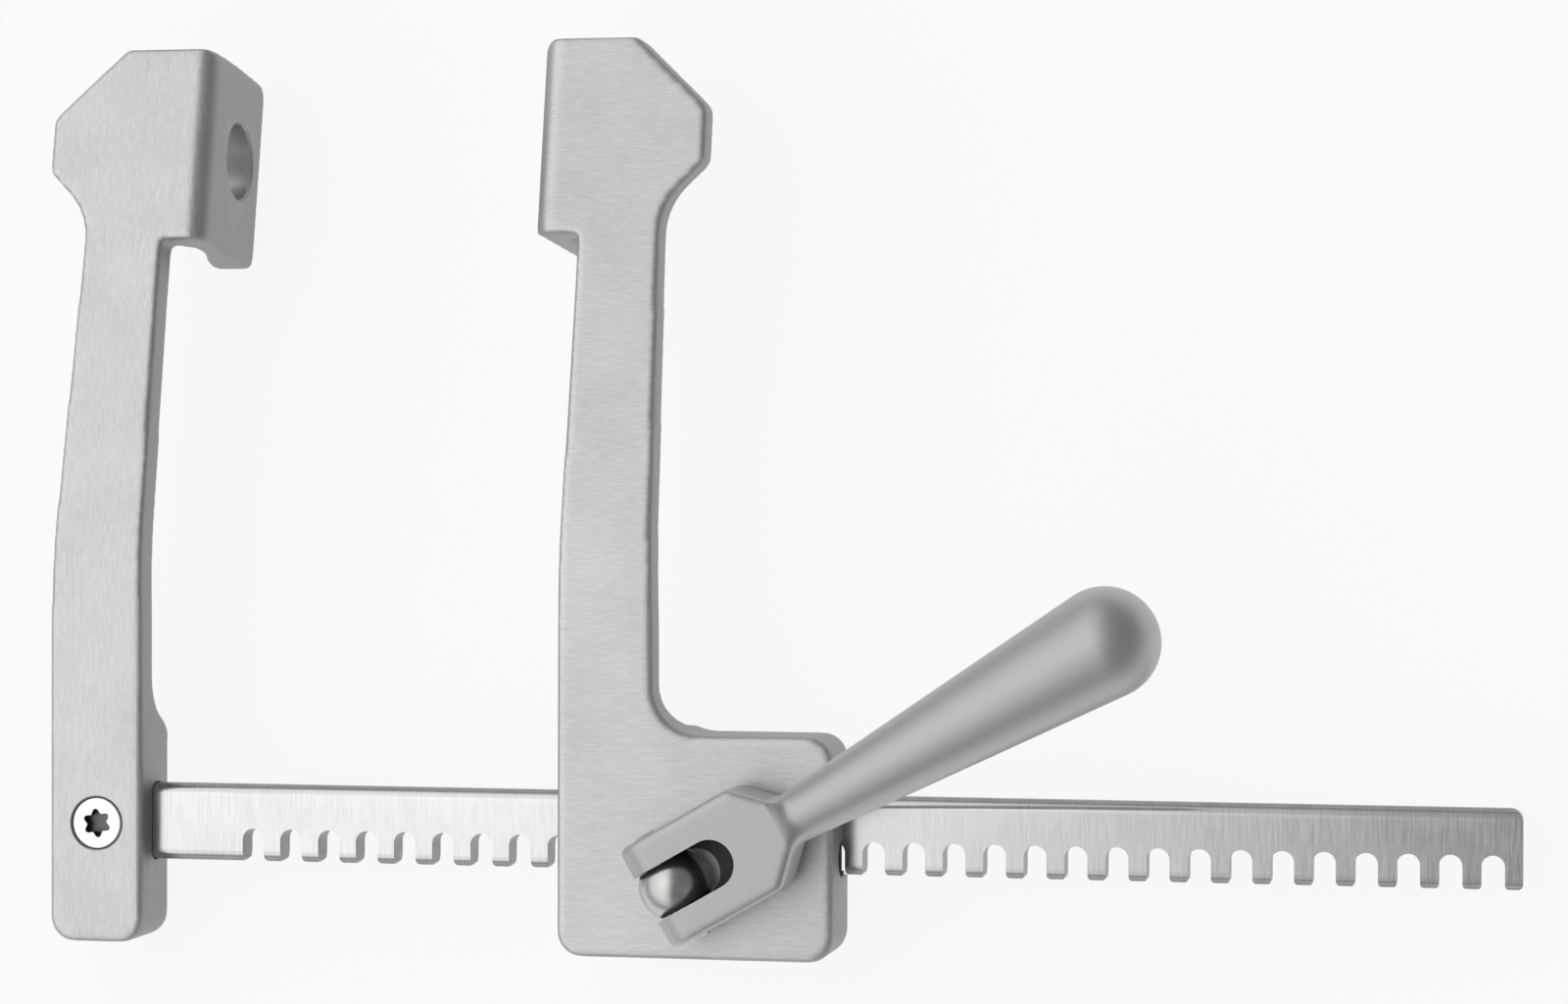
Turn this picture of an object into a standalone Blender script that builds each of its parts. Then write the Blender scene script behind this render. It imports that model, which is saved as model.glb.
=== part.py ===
"""Rib spreader: a toothed rack, a fixed arm, a sliding arm with a crank-driven lantern pinion.

Design frame, used by every size and place below: x runs along the rack from the left edge of its first
notch, y runs from the tooth tips towards the heads, z runs from the rack's front face towards the crank.
The whole instrument hangs on one empty, which lays it on its back: heel edges and flange backs on z = 0.
"""

import math

import bmesh
import bpy
from mathutils import Matrix, Vector

MM = 0.001

# Clearances
SEAT_GAP = 0.2 * MM
SLIDE_GAP = 0.25 * MM
BORE_GAP = 0.15 * MM

# Rack bar
RACK_PITCH = 7.5 * MM
NOTCH_COUNT = 32
NOTCH_WIDTH = 4.2 * MM
NOTCH_DEPTH = 6.3 * MM
TOOTH_CORNER = 0.5 * MM
RACK_HEIGHT = 14.6 * MM
RACK_THICKNESS = 5.8 * MM
RACK_EDGE_RADIUS = 2.1 * MM
RACK_TAIL = 3.2 * MM
RACK_TIP_TOP_RADIUS = 2.4 * MM
RACK_TIP_LOW_RADIUS = 1.2 * MM

# Arms, shared by both
ARM_THICKNESS = 6.5 * MM
ARM_WIDTH = 18.7 * MM
ARM_OUTER_TAPER = 1.8 * MM
ARM_INNER_TAPER = 1.2 * MM
TAPER_START = 45.0 * MM
TAPER_RADIUS = 82.0 * MM
ARM_BEND_ANGLE = math.radians(11.7)
ARM_BEND_HEIGHT = 59.2 * MM
ARM_BEND_RADIUS = 82.0 * MM
CORNER_RADIUS = 4.6 * MM
FRONT_FILLET = 0.9 * MM
BACK_FILLET = 1.6 * MM

# Heads, shared by both
SOCKET_HEIGHT = 135.6 * MM
SOCKET_DIAMETER = 15.0 * MM
SOCKET_CHAMFER = 0.5 * MM
SOCKET_INSET = 12.2 * MM
HEAD_BELOW_SOCKET = 16.4 * MM
HEAD_ABOVE_SOCKET = 21.6 * MM
HEAD_SIDE_BELOW_SOCKET = 3.1 * MM
HEAD_SIDE_ABOVE_SOCKET = 7.4 * MM
HEAD_WIDTH = 32.6 * MM
HEAD_TOP_CHAMFER = 14.2 * MM
SHOULDER_RADIUS = 13.0 * MM
FLANGE_REACH = 7.7 * MM
FLANGE_THICKNESS = 7.2 * MM
FLANGE_WAIST = 4.8 * MM
FLANGE_SWELL_START = 16.0 * MM
FLANGE_SWELL_END = 7.0 * MM
FLANGE_SWELL_RADIUS = 12.0 * MM
FLANGE_DROOP = math.radians(8.2)
FLANGE_CORNER = 3.0 * MM
FLANGE_INNER_FILLET = 3.0 * MM
FLANGE_FRONT_FILLET = 2.8 * MM

# Fixed arm's foot
FOOT_OUTER_X = -36.8 * MM
FOOT_BOTTOM = -15.4 * MM
FOOT_BACK_TOP = 26.0 * MM
FOOT_FRONT_WALL = 5.8 * MM
FOOT_BACK_WALL = 4.0 * MM
FOOT_END_WALL = 2.8 * MM
FOOT_BLEND_RADIUS = 6.6 * MM

# Rack screw
SCREW_X = -27.2 * MM
SCREW_DIAMETER = 5.0 * MM
SCREW_HEAD_DIAMETER = 9.8 * MM
SCREW_HEAD_RIM = 0.5 * MM
SCREW_GRIP_IN_BACK = 2.6 * MM
SCREW_RIM_BEVEL = 0.4
SCREW_TIP_BEVEL = 0.1
LOBE_COUNT = 6
LOBE_DIAMETER = 5.4 * MM
LOBE_SWING = 0.14
LOBE_DEPTH = 2.2 * MM

# Movable arm and its housing, in the position of the photograph
GAP_BETWEEN_ARMS = 82.8 * MM
HOUSING_WIDTH = 52.3 * MM
HOUSING_TOP = 26.2 * MM
HOUSING_BLOCK_TOP = 27.2 * MM
HOUSING_BOTTOM = -14.9 * MM
HOUSING_FRONT_WALL = 11.8 * MM
HOUSING_INNER_RADIUS = 13.5 * MM
HOUSING_BACK_FILLET = 2.6 * MM
RELIEF_DIAMETER = 8.8 * MM
RELIEF_HEIGHT = 3.9 * MM
RELIEF_Z = 0.6 * MM

# Back cover and its screws
COVER_INSET = 4.2 * MM
COVER_CORNER = 2.5 * MM
COVER_EDGE = 0.6 * MM
COVER_SCREW_INSET = 4.6 * MM
COVER_SCREW_DIAMETER = 2.5 * MM
COVER_SCREW_HEAD = 4.8 * MM
COVER_SCREW_RIM = 0.3 * MM
COVER_SCREW_LENGTH = 8.0 * MM
COVER_SOCKET_DIAMETER = 1.8 * MM
COVER_SOCKET_DEPTH = 1.0 * MM

# Crank shaft and lantern pinion
SHAFT_TOOTH = 11
SHAFT_BELOW_TIPS = 0.5 * MM
SHAFT_DIAMETER = 9.0 * MM
SPIGOT_DIAMETER = 5.0 * MM
KNUCKLE_DIAMETER = 12.5 * MM
KNUCKLE_FLATS = 8.7 * MM
KNUCKLE_ABOVE_PIN = 5.4 * MM
PIN_ABOVE_FACE = 7.0 * MM
DRIVE_PIN_DIAMETER = 2.3 * MM
DISC_DIAMETER = 12.4 * MM
FRONT_DISC_THICKNESS = 2.0 * MM
REAR_DISC_THICKNESS = 1.8 * MM
DISC_RACK_GAP = 0.3 * MM
BUSH_WALL = 1.4 * MM
REAR_BUSH_WALL = 1.0 * MM
WASHER_THICKNESS = 0.8 * MM

# Crank handle
HANDLE_YAW = math.radians(29.8)
HANDLE_RISE = math.radians(3.5)
CLEVIS_WIDTH = 20.5 * MM
CLEVIS_RADIUS = 5.5 * MM
CLEVIS_LENGTH = 19.0 * MM
CLEVIS_SHOULDER = 5.9 * MM
CLEVIS_FILLET = 1.2 * MM
FORK_GAP = 0.15 * MM
SLOT_REACH = 12.2 * MM
GRIP_START = 15.0 * MM
NECK_START = 22.0 * MM
NECK_RADIUS = 4.5 * MM
NECK_CORE = 0.76
BALL_RADIUS = 10.0 * MM
BALL_REACH = 91.3 * MM
HINGE_PIN_DIAMETER = 4.2 * MM
HINGE_PIN_CHAMFER = 0.3 * MM
HINGE_PIN_RECESS = 0.25 * MM

# Facets
ROUND_SIDES = 32
SMALL_ROUND_SIDES = 20
TAPPED_HOLE_SIDES = 12
COVER_SCREW_SIDES = 16
COVER_SOCKET_SIDES = 6
LOBE_STEPS = 36
DOME_STEPS = 6
BALL_STEPS = 10
ARC_STEP = math.radians(15.0)
FLAT_ANGLE = math.radians(0.5)
SMOOTH_ANGLE = math.radians(32.0)
SHARP_ANGLE = math.radians(50.0)
OVERSHOOT = 5.0 * MM
NEAR = 0.2 * MM
MERGE = 0.06 * MM
WELD = 0.001 * MM
FILLET_WELD = 0.005 * MM
EMPTY_SIZE = 10.0 * MM

# Places worked out from the sizes above
RACK_BACK = -RACK_THICKNESS
RACK_MIDDLE = RACK_HEIGHT / 2
HEAD_BOTTOM = SOCKET_HEIGHT - HEAD_BELOW_SOCKET
HEAD_TOP = SOCKET_HEIGHT + HEAD_ABOVE_SOCKET
HEAD_SIDE_BOTTOM = SOCKET_HEIGHT - HEAD_SIDE_BELOW_SOCKET
HEAD_SIDE_TOP = SOCKET_HEIGHT + HEAD_SIDE_ABOVE_SOCKET
FOOT_INNER_X = FOOT_OUTER_X + ARM_WIDTH
RACK_START = FOOT_OUTER_X + FOOT_END_WALL
RACK_END = RACK_PITCH * (NOTCH_COUNT - 1) + NOTCH_WIDTH + RACK_TAIL
FOOT_FRONT = FOOT_FRONT_WALL
FOOT_BACK = RACK_BACK - FOOT_BACK_WALL
MOVABLE_INNER_X = FOOT_INNER_X + GAP_BETWEEN_ARMS
HOUSING_OUTER_X = MOVABLE_INNER_X + HOUSING_WIDTH
HOUSING_FRONT = HOUSING_FRONT_WALL
HOUSING_BACK = RACK_BACK - SLIDE_GAP * 2
SHAFT_X = RACK_PITCH * SHAFT_TOOTH + (RACK_PITCH + NOTCH_WIDTH) / 2
SHAFT_Y = -SHAFT_BELOW_TIPS
PIN_ORBIT = RACK_PITCH / 2
FRONT_DISC_BACK = DISC_RACK_GAP
FRONT_DISC_FRONT = FRONT_DISC_BACK + FRONT_DISC_THICKNESS
REAR_DISC_FRONT = RACK_BACK - DISC_RACK_GAP
REAR_DISC_BACK = REAR_DISC_FRONT - REAR_DISC_THICKNESS
POCKET_RADIUS = DISC_DIAMETER / 2 + SLIDE_GAP
POCKET_FRONT = FRONT_DISC_FRONT + SLIDE_GAP
KNUCKLE_BASE = HOUSING_FRONT + WASHER_THICKNESS + 2 * BORE_GAP
PIN_Z = HOUSING_FRONT + PIN_ABOVE_FACE
HEEL_LINE = FOOT_BOTTOM + BACK_FILLET


def floor_z(y):
    """Resting plane in the design frame: through the foot's heel line, parallel to the heads."""
    return FOOT_BACK - (y - HEEL_LINE) * math.tan(ARM_BEND_ANGLE)


COVER_BOTTOM = HOUSING_BOTTOM + COVER_INSET
COVER_BACK = floor_z(COVER_BOTTOM + COVER_EDGE)
COVER_FRONT = HOUSING_BACK - SEAT_GAP


# Building helpers


def clear_scene():
    for item in list(bpy.data.objects):
        bpy.data.objects.remove(item, do_unlink=True)


def make_collection(name):
    collection = bpy.data.collections.new(name)
    bpy.context.scene.collection.children.link(collection)
    return collection


def make_material(name, colour, metallic, roughness):
    material = bpy.data.materials.new(name)
    material.use_nodes = True
    shader = material.node_tree.nodes["Principled BSDF"]
    shader.inputs["Base Color"].default_value = (*colour, 1.0)
    shader.inputs["Metallic"].default_value = metallic
    shader.inputs["Roughness"].default_value = roughness
    material.diffuse_color = (*colour, 1.0)
    return material


def make_empty(name, location, parent=None, rotation=(0.0, 0.0, 0.0)):
    empty = bpy.data.objects.new(name, None)
    empty.empty_display_size = EMPTY_SIZE
    empty.location = location
    empty.rotation_euler = rotation
    empty.parent = parent
    PARTS.objects.link(empty)
    return empty


def rounded_outline(corners):
    """Closed outline through corners (u, v, radius), each rounded by an arc of its own radius."""
    points = []
    for index, (u, v, radius) in enumerate(corners):
        corner = Vector((u, v))
        if radius <= 0.0:
            points.append(corner)
            continue
        before = (Vector(corners[index - 1][:2]) - corner).normalized()
        after = (Vector(corners[(index + 1) % len(corners)][:2]) - corner).normalized()
        half = before.angle(after) / 2
        centre = corner + (before + after).normalized() * (radius / math.sin(half))
        start = corner + before * (radius / math.tan(half)) - centre
        sweep = math.pi - 2 * half
        turn = 1.0 if before.cross(after) < 0.0 else -1.0
        steps = max(1, round(sweep / ARC_STEP))
        for step in range(steps + 1):
            arm = start.copy()
            arm.rotate(Matrix.Rotation(turn * sweep * step / steps, 2))
            points.append(centre + arm)
    apart = [point for n, point in enumerate(points) if (point - points[n - 1]).length > MERGE]
    return apart


def prism(name, outline, low, high, axes):
    """Mesh object: outline on the first two of axes, filled and extruded from low to high on the third."""
    curve = bpy.data.curves.new(name, "CURVE")
    curve.dimensions = "2D"
    curve.fill_mode = "BOTH"
    curve.extrude = (high - low) / 2
    spline = curve.splines.new("POLY")
    spline.points.add(len(outline) - 1)
    for point, (u, v) in zip(spline.points, outline):
        point.co = (u, v, 0.0, 1.0)
    spline.use_cyclic_u = True
    drawing = bpy.data.objects.new(name + "_outline", curve)
    bpy.context.scene.collection.objects.link(drawing)
    mesh = evaluated_mesh(drawing)
    bpy.data.objects.remove(drawing, do_unlink=True)
    across, along, through = (Vector(axis) for axis in axes)
    turn = Matrix((across, along, through)).transposed().to_4x4()
    turn.translation = through * (low + high) / 2
    mesh.transform(turn)
    weld_mesh(mesh)
    return bpy.data.objects.new(name, mesh)


ON_XY = ((1, 0, 0), (0, 1, 0), (0, 0, 1))
ON_YZ = ((0, 1, 0), (0, 0, 1), (1, 0, 0))
ON_XZ = ((0, 0, 1), (1, 0, 0), (0, 1, 0))


def evaluated_mesh(item):
    bpy.context.view_layer.update()
    evaluated = item.evaluated_get(bpy.context.evaluated_depsgraph_get())
    return bpy.data.meshes.new_from_object(evaluated)


def weld_mesh(mesh, distance=WELD):
    work = bmesh.new()
    work.from_mesh(mesh)
    bmesh.ops.remove_doubles(work, verts=work.verts, dist=distance)
    bmesh.ops.recalc_face_normals(work, faces=work.faces)
    work.to_mesh(mesh)
    work.free()


def cylinder(name, radius, start, end, sides=ROUND_SIDES, end_radius=None):
    """Mesh object: a cylinder or cone between two points, start at radius, end at end_radius."""
    start, end = Vector(start), Vector(end)
    work = bmesh.new()
    bmesh.ops.create_cone(
        work,
        cap_ends=True,
        segments=sides,
        radius1=radius,
        radius2=radius if end_radius is None else end_radius,
        depth=(end - start).length,
    )
    turn = (end - start).to_track_quat("Z", "Y").to_matrix().to_4x4()
    bmesh.ops.transform(work, matrix=Matrix.Translation((start + end) / 2) @ turn, verts=work.verts)
    mesh = bpy.data.meshes.new(name)
    work.to_mesh(mesh)
    work.free()
    return bpy.data.objects.new(name, mesh)


def turned(name, profile, sides=ROUND_SIDES):
    """Mesh object: profile (radius, z) from top to bottom down the outer side, turned about z."""
    mesh = bpy.data.meshes.new(name)
    points = [(radius, 0.0, z) for radius, z in profile]
    mesh.from_pydata(points, [(n, n + 1) for n in range(len(points) - 1)], [])
    item = bpy.data.objects.new(name, mesh)
    screw = item.modifiers.new("turn", "SCREW")
    screw.steps = sides
    screw.render_steps = sides
    screw.use_merge_vertices = True
    screw.merge_threshold = WELD
    bpy.context.scene.collection.objects.link(item)
    solid = evaluated_mesh(item)
    bpy.data.objects.remove(item, do_unlink=True)
    weld_mesh(solid)
    return bpy.data.objects.new(name, solid)


def keep(item, material, parent):
    """Makes a mesh object one of the parts, under its parent empty."""
    item.data.materials.clear()
    item.data.materials.append(material)
    item.parent = parent
    PARTS.objects.link(item)
    item.data.shade_smooth()
    item.data.set_sharp_from_angle(angle=SMOOTH_ANGLE)
    return item


def combine(item, cutter, operation="DIFFERENCE"):
    """Adds an exact Boolean with a cutter that stays hidden in the cutters' collection."""
    if cutter.name not in CUTTERS.objects:
        CUTTERS.objects.link(cutter)
        cutter.hide_render = True
        cutter.display_type = "WIRE"
        cutter.parent = item.parent
    boolean = item.modifiers.new(cutter.name, "BOOLEAN")
    boolean.operation = operation
    boolean.solver = "EXACT"
    boolean.object = cutter


def baked(item):
    """The same object with its modifiers worked into its mesh."""
    scene = bpy.context.scene.collection
    scene.objects.link(item)
    mesh = evaluated_mesh(item)
    scene.objects.unlink(item)
    item.modifiers.clear()
    item.data = mesh
    weld_mesh(mesh, MERGE)
    return item


def fillet(item, radius, segments, wanted):
    """Rounds the sharp convex edges whose two ends both pass the test wanted(point)."""
    work = bmesh.new()
    work.from_mesh(item.data)
    bmesh.ops.dissolve_limit(work, angle_limit=FLAT_ANGLE, verts=work.verts, edges=work.edges)
    edges = [
        edge
        for edge in work.edges
        if edge.is_manifold
        and edge.calc_face_angle_signed() > SHARP_ANGLE
        and all(wanted(vert.co) for vert in edge.verts)
    ]
    bmesh.ops.bevel(
        work,
        geom=edges,
        offset=radius,
        offset_type="OFFSET",
        segments=segments,
        profile=0.5,
        affect="EDGES",
        clamp_overlap=False,
        miter_outer="ARC",
    )
    bmesh.ops.remove_doubles(work, verts=work.verts, dist=FILLET_WELD)
    work.to_mesh(item.data)
    work.free()


# Arms


def head_corners(inner_x, inward):
    """Outline of an arm's upper part, from its inner edge up, round the head and down its outer edge."""

    def at(offset):
        return inner_x - inward * offset

    shoulder_y = HEAD_SIDE_BOTTOM - (HEAD_WIDTH - FLANGE_REACH - ARM_WIDTH + ARM_OUTER_TAPER)
    outer = HEAD_WIDTH - FLANGE_REACH
    return [
        (at(0), TAPER_START, TAPER_RADIUS),
        (at(ARM_INNER_TAPER), HEAD_BOTTOM, FRONT_FILLET),
        (at(-FLANGE_REACH), HEAD_BOTTOM, FRONT_FILLET * 2),
        (at(-FLANGE_REACH), HEAD_TOP, FLANGE_CORNER),
        (at(outer - HEAD_TOP_CHAMFER), HEAD_TOP, FLANGE_CORNER),
        (at(outer), HEAD_SIDE_TOP, FLANGE_CORNER),
        (at(outer), HEAD_SIDE_BOTTOM, FLANGE_CORNER),
        (at(ARM_WIDTH - ARM_OUTER_TAPER), shoulder_y, SHOULDER_RADIUS),
        (at(ARM_WIDTH), TAPER_START, TAPER_RADIUS),
    ]


def front_z(front, y):
    """Front surface of an arm above its bend, on the straight tilted line."""
    return front - (y - ARM_BEND_HEIGHT) * math.tan(ARM_BEND_ANGLE)


def line_crossing(point_a, slope_a, point_b, slope_b):
    """Where two lines z = z0 + slope (y - y0) meet, as (y, z)."""
    y = (point_b[1] - point_a[1] + slope_a * point_a[0] - slope_b * point_b[0]) / (slope_a - slope_b)
    return y, point_a[1] + slope_a * (y - point_a[0])


def flange_back_end(front, end_y):
    """Where a flange's end face, drooping from the front at end_y, meets the floor plane."""
    end_front = (end_y, front_z(front, end_y))
    on_floor = (0.0, floor_z(0.0))
    return line_crossing(end_front, 1.0 / math.tan(FLANGE_DROOP), on_floor, -math.tan(ARM_BEND_ANGLE))


def side_corners(front, bottom, block_back, block_top):
    """Side outline (y, z) of an arm: block, bent plate, head, flange that droops down to the floor plane."""
    tilt = -math.tan(ARM_BEND_ANGLE)
    plate_back = front - ARM_THICKNESS
    back_line = (ARM_BEND_HEIGHT, front - ARM_THICKNESS / math.cos(ARM_BEND_ANGLE))
    bend_y, _ = line_crossing((0.0, plate_back), 0.0, back_line, tilt)
    bottom_front = (HEAD_BOTTOM, front_z(front, HEAD_BOTTOM))
    inner = line_crossing(bottom_front, 1.0 / math.tan(FLANGE_DROOP), back_line, tilt)
    inner_radius = ARM_BEND_RADIUS - ARM_THICKNESS
    return [
        (bottom, front, 0.0),
        (ARM_BEND_HEIGHT, front, ARM_BEND_RADIUS),
        (HEAD_TOP, front_z(front, HEAD_TOP), 0.0),
        (*flange_back_end(front, HEAD_TOP), FLANGE_CORNER),
        (*flange_back_end(front, HEAD_BOTTOM), FLANGE_CORNER),
        (*inner, FRONT_FILLET),
        (bend_y, plate_back, inner_radius),
        (block_top, plate_back, FOOT_BLEND_RADIUS),
        (block_top, block_back, 0.0),
        (bottom, block_back, 0.0),
    ]


def plate_relief(name, front, inner_x, inward):
    """Cutter that leaves the plate and the flange behind it, which swells round the blade socket."""
    flange_face = inner_x + inward * FLANGE_REACH
    thin = flange_face - inward * FLANGE_WAIST
    thick = flange_face - inward * FLANGE_THICKNESS
    far = inner_x - inward * (HEAD_WIDTH + OVERSHOOT)
    plate = -ARM_THICKNESS / math.cos(ARM_BEND_ANGLE)
    back = floor_z(0.0) - front_z(front, 0.0)
    deep = back - OVERSHOOT
    corners = [
        (plate, thin, FLANGE_INNER_FILLET),
        (plate, far, 0.0),
        (deep, far, 0.0),
        (deep, thick, 0.0),
        (back + FLANGE_SWELL_END, thick, FLANGE_SWELL_RADIUS),
        (back + FLANGE_SWELL_START, thin, FLANGE_SWELL_RADIUS),
    ]
    low = flange_back_end(front, HEAD_BOTTOM)[0] - OVERSHOOT
    high = HEAD_TOP + OVERSHOOT
    cutter = prism(name, rounded_outline(corners), low, high, ON_XZ)
    lean = Matrix.Identity(4)
    lean[2][1] = -math.tan(ARM_BEND_ANGLE)
    lean[2][3] = front_z(front, 0.0)
    cutter.data.transform(lean)
    return cutter


def cut_socket(arm, name, inner_x, inward):
    """Round blade socket through the flange, square to it, with a chamfer at the inner face."""
    radius = SOCKET_DIAMETER / 2
    depth = FLANGE_THICKNESS + OVERSHOOT
    profile = [
        (0.0, OVERSHOOT),
        (radius + SOCKET_CHAMFER + OVERSHOOT, OVERSHOOT),
        (radius, -SOCKET_CHAMFER),
        (radius, -depth),
        (0.0, -depth),
    ]
    cutter = turned(name, profile)
    combine(arm, cutter)
    cutter.location = (inner_x + inward * FLANGE_REACH, SOCKET_HEIGHT, socket_z())
    cutter.rotation_euler = (0.0, inward * math.pi / 2, 0.0)


def socket_z():
    """Socket axis, the same on both arms: its inset from the flange back that stands on the floor plane."""
    return floor_z(SOCKET_HEIGHT) + SOCKET_INSET / math.cos(ARM_BEND_ANGLE)


def rough_arm(name, plan, side, front, inner_x, inward):
    """Plan outline and side outline cut into each other, less what lies behind the head's plate."""
    low_x = min(u for u, _ in plan) - OVERSHOOT
    high_x = max(u for u, _ in plan) + OVERSHOOT
    low_z = min(v for _, v in side) - OVERSHOOT
    high_z = max(v for _, v in side) + OVERSHOOT
    arm = prism(name, plan, low_z, high_z, ON_XY)
    combine(arm, prism(name + "_side", side, low_x, high_x, ON_YZ), "INTERSECT")
    combine(arm, plate_relief(name + "_relief", front, inner_x, inward))
    return baked(arm)


def round_arm_edges(arm, front, inner_x, inward, back, back_fillet):
    """Fillets: wide along the flange's inner front edge and the block's back, small elsewhere."""
    face = inner_x + inward * FLANGE_REACH

    def front_surface(y):
        return front if y < ARM_BEND_HEIGHT else front_z(front, y)

    def on_flange_edge(point):
        on_face = abs(point.x - face) < NEAR
        return on_face and abs(point.z - front_surface(point.y)) < NEAR and point.y > HEAD_BOTTOM

    def on_back(point):
        return abs(point.z - back) < NEAR and point.y < HEAD_BOTTOM

    def anywhere(point):
        return point.z < front + NEAR

    fillet(arm, FLANGE_FRONT_FILLET, 3, on_flange_edge)
    fillet(arm, back_fillet, 2, on_back)
    fillet(arm, FRONT_FILLET, 2, anywhere)


def build_fixed_arm(material, parent):
    corners = [(FOOT_OUTER_X, FOOT_BOTTOM, CORNER_RADIUS), (FOOT_INNER_X, FOOT_BOTTOM, CORNER_RADIUS)]
    plan = rounded_outline(corners + head_corners(FOOT_INNER_X, 1.0))
    side = rounded_outline(side_corners(FOOT_FRONT, FOOT_BOTTOM, FOOT_BACK, FOOT_BACK_TOP))
    arm = rough_arm("fixed_arm", plan, side, FOOT_FRONT, FOOT_INNER_X, 1.0)
    round_arm_edges(arm, FOOT_FRONT, FOOT_INNER_X, 1.0, FOOT_BACK, BACK_FILLET)
    keep(arm, material, parent)
    slot = rack_section("foot_slot", SEAT_GAP, RACK_START - SEAT_GAP, FOOT_INNER_X + OVERSHOOT)
    combine(arm, slot)
    cut_socket(arm, "fixed_socket", FOOT_INNER_X, 1.0)
    depth = FOOT_FRONT - screw_tip() + SEAT_GAP
    rim = SCREW_HEAD_RIM + SEAT_GAP
    sink = countersink("foot_countersink", SCREW_HEAD_DIAMETER, SCREW_DIAMETER, rim, depth, ROUND_SIDES)
    combine(arm, sink)
    sink.location = (SCREW_X, RACK_MIDDLE, FOOT_FRONT)
    return arm


def build_movable_arm(material, parent):
    left, right = MOVABLE_INNER_X, HOUSING_OUTER_X
    head = head_corners(left, -1.0)
    outer_edge = left + ARM_WIDTH
    corners = [(left, HOUSING_BOTTOM, CORNER_RADIUS)] + head
    corners += [(outer_edge, HOUSING_TOP, HOUSING_INNER_RADIUS), (right, HOUSING_TOP, CORNER_RADIUS)]
    corners.append((right, HOUSING_BOTTOM, CORNER_RADIUS))
    plan = rounded_outline(corners)
    side = rounded_outline(side_corners(HOUSING_FRONT, HOUSING_BOTTOM, HOUSING_BACK, HOUSING_BLOCK_TOP))
    arm = rough_arm("movable_arm", plan, side, HOUSING_FRONT, left, -1.0)
    round_arm_edges(arm, HOUSING_FRONT, left, -1.0, HOUSING_BACK, HOUSING_BACK_FILLET)
    keep(arm, material, parent)
    channel = rack_channel("rack_channel", left - OVERSHOOT, right + OVERSHOOT)
    combine(arm, channel)
    pocket_top = (SHAFT_X, SHAFT_Y, POCKET_FRONT)
    pocket_bottom = (SHAFT_X, SHAFT_Y, HOUSING_BACK - OVERSHOOT)
    combine(arm, cylinder("pinion_pocket", POCKET_RADIUS, pocket_top, pocket_bottom))
    bush = SHAFT_DIAMETER / 2 + BORE_GAP + BUSH_WALL + BORE_GAP
    bush_top = (SHAFT_X, SHAFT_Y, HOUSING_FRONT + OVERSHOOT)
    combine(arm, cylinder("bush_bore", bush, bush_top, (SHAFT_X, SHAFT_Y, POCKET_FRONT - SEAT_GAP)))
    relief_end = (right + OVERSHOOT, RELIEF_HEIGHT, RELIEF_Z)
    relief_start = (SHAFT_X, RELIEF_HEIGHT, RELIEF_Z)
    combine(arm, cylinder("side_relief", RELIEF_DIAMETER / 2, relief_start, relief_end, SMALL_ROUND_SIDES))
    cut_socket(arm, "movable_socket", left, -1.0)
    for number, (x, y) in enumerate(cover_screw_places(), start=1):
        tip = COVER_BACK + COVER_SCREW_LENGTH + SEAT_GAP
        radius = COVER_SCREW_DIAMETER / 2 + BORE_GAP
        start = (x, y, HOUSING_BACK - OVERSHOOT)
        combine(arm, cylinder(f"tapped_hole_{number}", radius, start, (x, y, tip), TAPPED_HOLE_SIDES))
    return arm


# Rack and its screw


def rack_section(name, gap, low_x, high_x):
    """Rack's section, grown by gap all round and run along x."""
    radius = RACK_EDGE_RADIUS + gap
    low_y, high_y = -gap, RACK_HEIGHT + gap
    low_z, high_z = RACK_BACK - gap, gap
    corners = [
        (low_y, low_z, radius),
        (high_y, low_z, radius),
        (high_y, high_z, radius),
        (low_y, high_z, radius),
    ]
    return prism(name, rounded_outline(corners), low_x, high_x, ON_YZ)


def rack_channel(name, low_x, high_x):
    """Square channel for the rack, open at the housing's back."""
    low_y, high_y = -SLIDE_GAP, RACK_HEIGHT + SLIDE_GAP
    low_z, high_z = HOUSING_BACK - OVERSHOOT, SLIDE_GAP
    outline = [(low_y, low_z), (high_y, low_z), (high_y, high_z), (low_y, high_z)]
    return prism(name, outline, low_x, high_x, ON_YZ)


def notch_outline(left):
    """One round-topped notch, its mouth flared by the rounded tooth corners."""
    right = left + NOTCH_WIDTH
    round_top = NOTCH_WIDTH / 2
    below = -OVERSHOOT
    flare = TOOTH_CORNER
    return rounded_outline(
        [
            (right + flare, below, 0.0),
            (right + flare, 0.0, 0.0),
            (right, flare, flare),
            (right, NOTCH_DEPTH, round_top),
            (left, NOTCH_DEPTH, round_top),
            (left, flare, flare),
            (left - flare, 0.0, 0.0),
            (left - flare, below, 0.0),
        ]
    )


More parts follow.
